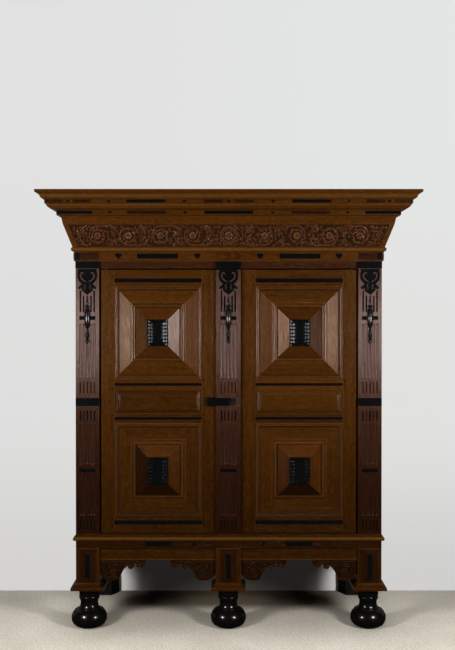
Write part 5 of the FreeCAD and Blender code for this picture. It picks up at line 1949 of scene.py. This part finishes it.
@dataclass
class Cornice:
    """Architrave, carved frieze and crown, with their inlays."""

    finishes: Finishes
    mark: float = 45
    crown: float = 1950
    drop: Pairs = ((8, 4), (7.6, 0.5), (4.4, -4), (0, -7.5))
    gem: Pairs = ((11.5, 12.5), (16.5, 7), (15.5, 2.5), (9, -5.5), (3.5, -10.5), (0, -12.5))
    mark_thickness: float = 1.6
    side_face: float = 740
    front_corner: float = -235.7
    end_bars: float = 700
    end_width: float = 21
    burr_reach: float = 120

    def black_inlays(self) -> Object:
        """Lay the long bars, and small shaped marks where the short inlays are.

        Returns:
            The bars and marks.
        """
        bars = sound("cornice_black_inlays")
        numbers = part_numbers(bars.data)
        boxes = board_boxes(bars.data, numbers)
        short = {n for n, (low, high) in boxes.items()
            if max(high.x - low.x, high.y - low.y) < self.mark * MM}
        marks = iter(numbers)
        pick_faces(bars, lambda face: next(marks) in short)
        bpy.ops.mesh.delete(type="FACE")
        done(bars)
        for vertex in bars.data.vertices:
            if vertex.co.z < self.crown * MM and abs(vertex.co.x) > self.side_face * MM:
                vertex.co.y = max(vertex.co.y, self.front_corner * MM)
        parts = [soften(bars, 0.3, 1)]
        for low, high in (boxes[n] for n in sorted(short)):
            middle = (low + high) / 2 / MM
            shape = self.drop if middle.z > self.crown else self.gem
            parts.append(self.shaped(shape, middle, low / MM, high / MM))
        return join(parts)

    def shaped(self, half: Sequence[Pair], middle: Vector, low: Vector,
               high: Vector) -> Object:
        """Cut one mark that is straight above and pointed below.

        Args:
            half: Its right half, from the top down.
            middle: The middle of its place.
            low: The low corner of its place.
            high: The high corner of its place.

        Returns:
            The mark.
        """
        deep = self.mark_thickness / 2
        right = [Vector(half[0]), *smooth_line(half[1:], 3)]
        left = [Vector((-p.x, p.y)) for p in reversed(right[:-1])]
        mark = fretwork([right + left], self.mark_thickness, 0.2)
        if high.x - low.x > high.y - low.y:
            return stand_up(mark, middle.x, low.y + deep, middle.z)
        side = 1 if middle.x > 0 else -1
        stand_up(mark, 0, 0, 0)
        mark.data.transform(Matrix.Rotation(side * QUARTER, 4, "Z"))
        edge = high.x if side > 0 else low.x
        mark.data.transform(Matrix.Translation(mm(edge - side * deep, middle.y, middle.z)))
        return mark

    def end_blacks(self, bars: Object) -> Object:
        """Lay the black ends of the outermost bars of the architrave.

        Args:
            bars: The red-brown bars.

        Returns:
            The ends.
        """
        ends = []
        for low, high in board_boxes(bars.data, part_numbers(bars.data)).values():
            low, high = low / MM, high / MM
            if high.z < self.crown and max(high.x, -low.x) > self.end_bars:
                start = low.x if low.x < 0 else high.x - self.end_width
                ends.append(block((start - 0.1, low.y - 0.3, low.z - 0.1),
                    (start + self.end_width + 0.1, high.y - 0.1, high.z + 0.1)))
        return join(ends)

    def build(self) -> None:
        """Make every piece of the cornice."""
        f = self.finishes
        for node, name, width in (("cornice_architrave", "architrave_run", 0.8),
                                  ("cornice_frieze", "frieze_run", 0.8),
                                  ("crown_moulding", "crown_run", 0.9)):
            run = soften(sound(node), width)
            for vertex in run.data.vertices:
                vertex.co = [min(max(c, low), high) for c, low, high in zip(vertex.co, *CAD_BOX)]
            deliver(run, name, Body.CARCASE, Slot.OAK, f.oak, [node], Grain.RUN)
        bars = planed("cornice_red_inlays", "cornice_rosewood", Body.CARCASE, Slot.RED_INLAY,
            f.rosewood, Grain.ALONG, width=0.3, steps=1)
        bars.data.materials.append(f.burr)
        for face in bars.data.polygons:
            place = face.center / MM
            face.material_index = int(abs(place.x) < self.burr_reach and place.z < self.crown)
        deliver(join([self.black_inlays(), self.end_blacks(bars)]), "cornice_ebony", Body.CARCASE,
            Slot.EBONY, f.ebony, ["cornice_black_inlays"])
        FriezeCarving(f.carved, f.shaded_carving_ground).build()


# ---------- doors


@dataclass(frozen=True)
class Ripple:
    """A frame of rippled black moulding round a dark field."""

    base: float = 5
    height: float = 4.4
    facet: float = 2.2
    pitch: float = 16.5
    side: float = 27
    end: float = 19

    def relief(self, s: float, along: float) -> float:
        """Work out how high the moulding stands.

        Args:
            s: The place across it, from 0 at its outer edge to 1 at its inner.
            along: The place along it.

        Returns:
            The height.
        """
        beat = min(1, abs(math.sin(math.pi * along / self.pitch)) / 0.5) ** 0.6
        if s < 0.13:
            return 0.7 * self.height * math.sin(math.pi * s / 0.13) ** 0.75
        for low, high in ((0.15, 0.55), (0.57, 0.97)):
            if low <= s <= high:
                ridge = 1 - abs(2 * (s - low) / (high - low) - 1)
                return (self.height + self.facet * ridge) * (0.45 + 0.55 * beat)
        return 0.8

    def member(self, start: Pair, end: Pair, inner: float,
               width: float, front: float) -> Object:
        """Plane one side of the frame with mitred ends.

        Args:
            start: The outer corner where the side begins.
            end: The outer corner where it ends.
            inner: How far the mitre runs along the side.
            width: The side's width.
            front: The y that the moulding stands on.

        Returns:
            The side.
        """
        a, b = Vector(start), Vector(end)
        way = (b - a).normalized()
        turn = Vector((-way.y, way.x))
        length = (b - a).length

        def shape(u: float, v: float) -> Point:
            """Work out one point of the side.

            Args:
                u: Its place along the side, from 0 to 1.
                v: Its place across it.

            Returns:
                The point.
            """
            along = inner * v + (length - 2 * inner * v) * u
            place = a + way * along + turn * (width * v)
            return place.x, front - self.relief(v, along), place.y

        sheet = worked_sheet(round(length / 1.4), 30, shape)
        closed = close_back(sheet, Vector((0, (front + 1) * MM, 0)), 1)
        shade(24)
        return closed

    def build(self, x: float, z: float, half_x: float, half_z: float, back: float) -> Object:
        """Make one plaque.

        Args:
            x: Its middle.
            z: Its middle level.
            half_x: Half its width.
            half_z: Half its height.
            back: The y of its back.

        Returns:
            The plaque.
        """
        front = back - self.base
        board = raised_board((x - half_x + 0.4, front, z - half_z + 0.4),
            (x + half_x - 0.4, back, z + half_z - 0.4),
            ((self.side - 1, 0), (1.2, -1.2), (3, 0.4), (1.5, 0.9)))
        corners = ((x - half_x, z - half_z), (x + half_x, z - half_z), (x + half_x, z + half_z),
            (x - half_x, z + half_z))
        sides = [board]
        for i, corner in enumerate(corners):
            upright = i % 2 == 1
            width, inner = (self.side, self.end) if upright else (self.end, self.side)
            sides.append(self.member(corner, corners[(i + 1) % 4], inner, width, front))
        return join(sides)


@dataclass
class Door:
    """A frame with two pyramid panels and a small one between them."""

    finishes: Finishes
    side: int
    ledge: float = -208
    face: float = -215
    back: float = -183
    opening: Pair = (131, 551)
    levels: Pairs = ((542, 994), (1040, 1155), (1207, 1655))
    outer_edge: float = 616
    centre_edges: Pair = (-58, 61)
    bottom: float = 463
    top: float = 1734
    keyhole: Point = (20, -200, 1100)
    keyhole_radius: float = 5
    peg_levels: tuple[float, ...] = (495, 530, 1008, 1034, 1160, 1200, 1662, 1702)
    peg_offset: float = 12
    tongue: float = 7.5
    panel_back: float = -196
    lower_rises: Pair = (1.5, 33)
    upper_rises: Pair = (15.5, 25)
    small_steps: Pairs = ((10.9, 0), (0.6, 0.2), (18, 8.6), (1, 0), (0.8, -1.3), (1.2, 0),
        (0.8, 0.5))
    field_gap: float = 76
    pyramid_half: Pair = (108, 124)
    plaque_half: tuple[float, float, float] = (50, 66, 64)
    rail_tones: Pair = (-0.36, -0.3)
    small_tones: Pair = (-0.4, 0)
    outer_profile: Pairs = (
        (0.3, 3), (0.9, 1.5), (2, 0.8), (0.8, 0), (1.6, -0.6), (0.9, -1.2), (0.5, -0.6),
        (0.6, 0.7), (1.3, 0.9), (1.6, 0.4), (1.8, -0.4), (1.7, -1.1), (1.5, -1.8), (1.4, -2.2),
        (1.3, -1.7), (1.3, -1), (1.3, -0.4), (0.8, 0), (0.7, -1.3), (0.4, -1))
    inner_profile: Pairs = (
        (0.3, 1.2), (0.8, 1.2), (1.3, 0.7), (1.4, 0), (1.2, -0.8), (0.8, -1.2), (0.6, 0),
        (1.6, 0.2), (2, 0.5), (2.2, 0.9), (2.2, 1.4), (2, 1.8), (1.6, 1.3), (0.9, 0),
        (0.6, 0.9), (1.2, 1), (1.5, 0.4), (1.5, -0.4), (1.2, -1), (0.7, -1.4), (0.3, -1.6))
    small_profile: Pairs = (
        (0.2, 0.3), (0.5, 0.5), (0.6, 0.1), (0.6, -0.3), (0.5, -1.2), (0.4, -2), (0.3, -2.4),
        (0.2, -1.5))

    def build(self) -> None:
        """Make every piece of the door but its iron."""
        self.name = "left" if self.side < 0 else "right"
        self.body = Body.DOOR_LEFT if self.side < 0 else Body.DOOR_RIGHT
        self.low, self.high = self.span(*self.opening)
        self.middle = self.side * sum(self.opening) / 2
        self.large = ((self.levels[0], self.lower_rises), (self.levels[2], self.upper_rises))
        self.frame_boards()
        self.pegs()
        self.panels()
        self.mouldings()
        self.plaques()
        planed(f"door_{self.name}_strips", f"{self.name}_ebony_strips", self.body, Slot.EBONY,
            self.finishes.ebony, width=0.5)

    def span(self, a: float, b: float) -> Pair:
        """Two places across the door, from its hinge side or not, in order."""
        return tuple(sorted((a * self.side, b * self.side)))

    def frame_boards(self) -> None:
        """Plane the stiles and rails and fit them together."""
        inner = self.centre_edges[0 if self.side < 0 else 1]
        boards = [soften(block((a, self.face, self.bottom), (b, self.back, self.top)), 0.9)
            for a, b in (self.span(self.opening[1], self.outer_edge),
            self.span(inner, self.opening[0]))]
        edges = [self.bottom, *(z for pair in self.levels for z in pair), self.top]
        for z0, z1 in zip(edges[::2], edges[1::2]):
            boards.append(soften(block((self.low, self.face, z0), (self.high, self.back, z1)),
                0.8))
        if self.side < 0:
            self.cut_keyhole(boards[1])
        boards = deliver(join(boards), f"{self.name}_door_boards", self.body, Slot.OAK,
            self.finishes.oak, [f"door_{self.name}_frame"], Grain.ALONG)
        shade_boards(boards, self.rail_tone)

    def rail_tone(self, place: Vector, normal: Vector) -> float:
        """Work out how much darker a rail is than the stiles.

        Args:
            place: A place on the frame.
            normal: Its normal; not used.

        Returns:
            The share.
        """
        if self.opening[0] < abs(place.x) < self.opening[1]:
            if place.z > self.levels[2][1]:
                return self.rail_tones[1]
            if self.levels[0][1] < place.z < self.levels[1][0]:
                return self.rail_tones[0]
        return 0

    def cut_keyhole(self, stile: Object) -> None:
        """Pierce the stile behind the keyhole.

        Args:
            stile: The stile by the lock.
        """
        drill = added("cylinder", vertices=24, radius=self.keyhole_radius * MM, depth=60 * MM,
            location=mm(*self.keyhole), rotation=(QUARTER, 0, 0))
        modify(stile, "BOOLEAN", operation="DIFFERENCE", object=drill, solver="EXACT")
        bpy.data.objects.remove(drill)

    def pegs(self) -> None:
        """Drive two pegs into each joint."""
        draw = random.Random(self.side + 5)
        columns = (self.opening[1] + self.peg_offset, self.opening[0] - self.peg_offset)
        pegs = [added("cylinder", vertices=10, radius=draw.uniform(4.4, 5) * MM, depth=6 * MM,
            location=mm(x * self.side, self.face + 2.4, z),
            rotation=(QUARTER, 0, draw.uniform(0, 1))) for z in self.peg_levels for x in columns]
        deliver(soften(join(pegs)), f"{self.name}_door_pegs", self.body, Slot.OAK,
            self.finishes.pegs, grain=Grain.ALONG)

    def panel(self, levels: Pair, steps: Sequence[Pair]) -> Object:
        """Raise one panel, whose tongues run in the frame's grooves.

        Args:
            levels: The bottom and the top of its opening.
            steps: The width and the rise of each step from its edge.

        Returns:
            The panel.
        """
        return raised_board((self.low - self.tongue, self.ledge, levels[0] - self.tongue),
            (self.high + self.tongue, self.panel_back, levels[1] + self.tongue), steps)

    def panels(self) -> None:
        """Raise the panels' fields."""
        f = self.finishes
        boards = [self.panel(levels, ((self.tongue + 21, 0), (55, first), (27, 0), (0.6, 1.2),
            (1.2, 1.8), (55, second - 0.2), (0.4, 0.2))) for levels, (first, second) in self.large]
        boards.append(self.panel(self.levels[1], self.small_steps))
        panels = deliver(soften(join(boards), 0.35, 1, 12), f"{self.name}_door_panels", self.body,
            Slot.OAK, f.oak, [f"door_{self.name}_panels"], Grain.MITRE)
        panels.data.materials.append(f.pyramid)
        panels.data.materials.append(f.waxed)
        for face in panels.data.polygons:
            place, slope = face.center / MM, face.normal.x
            dull = place.z > self.levels[2][0] and slope < -0.25
            face.material_index = int(not dull and any(self.on_pyramid(place, i) for i in (0, 2)))
            if self.on_small(place) and abs(slope) > 0.2:
                face.material_index = 2
        # The panels' tone carries painted light and shade on the pyramids.
        shade_boards(panels, self.panel_tone_and_light)

    def on_small(self, place: Vector) -> bool:
        """Whether a place lies on the small panel."""
        return self.levels[1][0] < place.z < self.levels[1][1]

    def on_pyramid(self, place: Vector, panel: int) -> bool:
        """Whether a place lies on the pyramid of the large panel of that number."""
        across, up = place.x - self.middle, place.z - sum(self.levels[panel]) / 2
        return abs(across) < self.pyramid_half[0] and abs(up) < self.pyramid_half[1]

    def panel_tone_and_light(self, place: Vector, normal: Vector) -> float:
        """Work out how much lighter or darker a board of the panels is; on the pyramids this is
        painted light and shade by the way each face looks.

        Args:
            place: A place on the panels.
            normal: Its normal.

        Returns:
            The share.
        """
        if self.on_small(place):
            return self.small_tones[0 if self.side < 0 else 1]
        if not self.on_pyramid(place, 0):
            return 0
        # Painted light and shade: tops and right-hand faces lighter, bottoms darker, left-hand
        # faces darker on the left door.
        if abs(normal.z) > 0.25:
            return 0.7 if normal.z > 0 else -0.6
        if normal.x < -0.25:
            return -0.55 if self.side < 0 else 0.15
        return 0.75 if normal.x > 0.25 else 0

    def mouldings(self) -> None:
        """Plane and mitre the mouldings round the fields."""
        frames = []
        gap = self.field_gap
        for (z0, z1), (first, _) in self.large:
            frames.append(mitred_frame((self.low, z0), (self.high, z1), self.face + 0.5,
                self.ledge, self.outer_profile))
            field = self.ledge - first
            frames.append(mitred_frame((self.low + gap, z0 + gap), (self.high - gap, z1 - gap),
                field - 0.2, field + 1.6, self.inner_profile))
        z0, z1 = self.levels[1]
        frames.append(mitred_frame((self.low, z0), (self.high, z1), self.face + 0.5, self.ledge,
            self.small_profile))
        moulding = join(frames)
        shade(50)
        deliver(moulding, f"{self.name}_door_mouldings", self.body, Slot.OAK, self.finishes.waxed,
            [f"door_{self.name}_mouldings"], Grain.MITRE)

    def plaques(self) -> None:
        """Set the rippled plaques on the pyramids."""
        width, *heights = self.plaque_half
        parts = [Ripple().build(self.middle, (z0 + z1) / 2, width, height,
            self.ledge - sum(rises) - 3) for ((z0, z1), rises), height in zip(self.large, heights)]
        deliver(join(parts), f"{self.name}_ripple_plaques", self.body, Slot.EBONY,
            self.finishes.rippled, [f"door_{self.name}_plaques"])


# ---------- iron


@dataclass
class Ironwork:
    """Pivots, lock, bolts, escutcheon and the sliding keyhole cover."""

    finishes: Finishes

    def build(self) -> None:
        """Forge the iron and fit the cover."""
        iron, black = self.finishes.iron, self.finishes.painted
        for node, name, body, finish in (
                ("door_left_pivots", "left_pivots", Body.DOOR_LEFT, black),
                ("door_right_irons", "right_irons", Body.DOOR_RIGHT, black),
                ("escutcheon", "keyhole_plate", Body.DOOR_LEFT, iron),
                ("lock_case", "lock_box", Body.DOOR_LEFT, iron),
                ("lock_bolt", "lock_tongue", Body.LOCK_BOLT, iron),
                ("top_bolt", "top_slide_bolt", Body.TOP_BOLT, iron),
                ("bottom_bolt", "bottom_slide_bolt", Body.BOTTOM_BOLT, iron)):
            planed(node, name, body, Slot.IRON, finish, width=0.4, sharp=40, clamp=False)
        planed("keyhole_cover", "sliding_cover", Body.COVER, Slot.EBONY, self.finishes.ebony,
            width=0.6)


# ---------- studio


@dataclass
class Studio:
    """A plain room with two soft lamps."""

    wall_row: float = 0.415
    lamp_power: float = 72
    lamp_angle: float = 41.5
    lamp_distance: float = 2.85
    lamp_height: float = 1.42
    top_power: float = 22
    rear_power: float = 16
    rear_spread: float = 12
    fill: float = 0.028
    sheen_fill: float = 0.012
    camera_place: Point = (-0.0058, -4.775, 1.507)
    camera_drop: float = 0.49
    lens: float = 52.3
    sensor: float = 36

    def build(self) -> None:
        """Make the room, the lamps and the camera."""
        self.floor()
        self.wall()
        for side in (-1, 1):
            angle = math.radians(self.lamp_angle) * side
            self.lamp((math.sin(angle) * self.lamp_distance,
                -0.2 - math.cos(angle) * self.lamp_distance, self.lamp_height), (0, -0.2, 1.25),
                (0.45, 0.60), self.lamp_power)
        top = self.lamp((0, -2.2, 3.6), (0, -1.2, 0), (3, 2.4), self.top_power)
        rear = self.lamp((0, 2.6, 1.12), (0, 0, 1.12), (1.6, 1.9), self.rear_power)
        top.visible_glossy = rear.visible_glossy = False
        rear.data.spread = math.radians(self.rear_spread)
        self.sky()
        self.camera()
        bpy.context.scene.view_settings.view_transform = "Standard"

    @staticmethod
    def stage(name: str, material: Material, **place: object) -> None:
        """Put one plane of the room in its place.

        Args:
            name: Its name.
            material: Its material.
            **place: Its size, place and turn.
        """
        plane = added("plane", **place)
        plane.name = name
        plane.data.materials.append(material)

    def floor(self) -> None:
        """Lay a pale carpet, with painted shade in front of the cupboard and painted shadow under
        it.
        """
        material, w, shader = blank_material("pale carpet")
        tuft = w.noise(w.place(), 90, 3, 0.75)
        patch = w.noise(w.place(), 2.5, 4, 0.6)
        mixed = w.plus(w.times(tuft, 0.7), w.times(patch, 0.3))
        colour = w.blend(w.between(mixed, 0.36, 0.64), (0.66, 0.605, 0.505), (0.95, 0.89, 0.775))
        x, y, _ = w.split(w.place())
        aside = w.math("ABSOLUTE", x)
        # Painted shade on the floor between and in front of the feet.
        near = w.times(w.between(aside, 0.95, 0.60), w.between(y, -0.5, -0.12))
        # Painted shadow on the floor under the cupboard.
        deep = w.times(w.between(aside, 0.66, 0.50), w.between(y, 0.03, 0.19))
        colour = w.blend(w.times(near, 0.38), colour, (0.06, 0.03, 0))
        colour = w.blend(w.times(deep, 0.86), colour, (0.05, 0.03, 0.01))
        path = w.node("ShaderNodeLightPath").outputs
        unseen = w.blend(path["Is Glossy Ray"], (0.10, 0.088, 0.072), (0.03, 0.026, 0.022))
        w.connect(shader, {"Base Color": w.blend(path["Is Camera Ray"], unseen, colour),
            "Roughness": 0.95, "Specular IOR Level": 0.1, "Normal": w.bump(tuft, 0.4, 0.004)})
        self.stage("carpet", material, size=60, location=(0, 0, 0))

    def wall(self) -> None:
        """Raise a pale wall that lets light and the eye through from behind. It carries painted
        shadow behind the cupboard's middle and a faint glow, and the camera sees it as a glowing
        backdrop with painted fall-off.
        """
        material, w, shader = blank_material("pale wall")
        path = w.node("ShaderNodeLightPath").outputs
        seen = path["Is Camera Ray"]
        x, _, z = w.split(w.place())
        aside = w.math("ABSOLUTE", x)
        colour = w.blend(w.noise(w.place(), 1.2, 3, 0.5), (0.88, 0.86, 0.83), (0.92, 0.90, 0.87))
        # Painted shadow on the wall behind the middle of the cupboard.
        colour = w.blend(w.between(aside, 0.60, 0.47), colour, (0.10, 0.09, 0.08))
        # A faint warm glow from the wall: painted light that lifts the shade under the cupboard.
        w.connect(shader, {"Base Color": w.blend(seen, (0.16, 0.16, 0.155), colour),
            "Roughness": 0.9, "Specular IOR Level": 0.1, "Emission Color": (1, 0.93, 0.85),
            "Emission Strength": 0.014})
        # The camera sees the wall as a glow, darker towards the floor and on the left: painted
        # fall-off of the light.
        backdrop_with_painted_falloff = w.blend(w.between(z, 0, 1), (0.625, 0.62, 0.605), (0.755, 0.755, 0.745))
        backdrop_with_painted_falloff = w.blend(w.between(z, 1, 2.6), backdrop_with_painted_falloff, (0.775, 0.79, 0.78))
        backdrop_with_painted_falloff = w.blend(w.between(x, 1.2, -1.2, 0, 0.35), backdrop_with_painted_falloff, (0.70, 0.69, 0.70))
        under = w.times(w.between(aside, 0.80, 0.74), w.between(z, 0.46, 0.40))
        glow = w.node("ShaderNodeEmission", {"Color": backdrop_with_painted_falloff, "Strength": 1})
        front = w.mixed(w.times(seen, w.minus(1, under)), shader, glow)
        behind = w.times(w.node("ShaderNodeNewGeometry").outputs["Backfacing"], seen)
        behind = w.math("MAXIMUM", behind, path["Is Shadow Ray"])
        mixed = w.mixed(behind, front, w.node("ShaderNodeBsdfTransparent"))
        w.connect(w.tree.nodes["Material Output"], {0: mixed.outputs[0]})
        self.stage("wall", material, size=16, location=(0, self.wall_row, 8),
            rotation=(QUARTER, 0, 0))

    @staticmethod
    def lamp(place: Point, aim: Point, size: Pair, power: float) -> Object:
        """Place one soft lamp.

        Args:
            place: Where it stands.
            aim: What it points at.
            size: Its width and height.
            power: Its power in watts.

        Returns:
            The lamp.
        """
        light = bpy.data.lights.new("lamp", "AREA")
        light.shape = "RECTANGLE"
        light.size, light.size_y = size
        light.energy = power
        lamp = linked("lamp", light)
        lamp.location = place
        lamp.rotation_euler = (Vector(aim) - Vector(place)).to_track_quat("-Z", "Y").to_euler()
        return lamp

    def sky(self) -> None:
        """Fill the room with weak light from all round."""
        world = bpy.data.worlds.new("room")
        world.use_nodes = True
        bpy.context.scene.world = world
        w = Wires(world.node_tree)
        path = w.node("ShaderNodeLightPath").outputs
        strength = w.between(path["Is Glossy Ray"], 0, 1, self.fill, self.sheen_fill)
        plain = w.node("ShaderNodeBackground", {"Color": (1, 1, 1), "Strength": strength})
        pale = w.node("ShaderNodeBackground", {"Color": (0.80, 0.80, 0.79), "Strength": 1})
        mixed = w.mixed(path["Is Camera Ray"], plain, pale)
        w.connect(w.tree.nodes["World Output"], {0: mixed.outputs[0]})

    def camera(self) -> None:
        """Set the camera in front, a little above the middle."""
        data = bpy.data.cameras.new("camera")
        data.lens = self.lens
        data.sensor_width = self.sensor
        camera = linked("camera", data)
        camera.location = self.camera_place
        camera.rotation_euler = (math.radians(90 - self.camera_drop), 0, 0)
        bpy.context.scene.camera = camera


def main() -> None:
    """Build the studio and the cupboard."""
    logging.basicConfig(level=logging.INFO, format="%(message)s")
    Studio().build()
    finishes = Finishes.build()
    Base(finishes).build()
    Carcase(finishes).build()
    Pilasters(finishes).build()
    Cornice(finishes).build()
    for side in (-1, 1):
        Door(finishes, side).build()
    Ironwork(finishes).build()


if __name__ == "__main__":
    main()
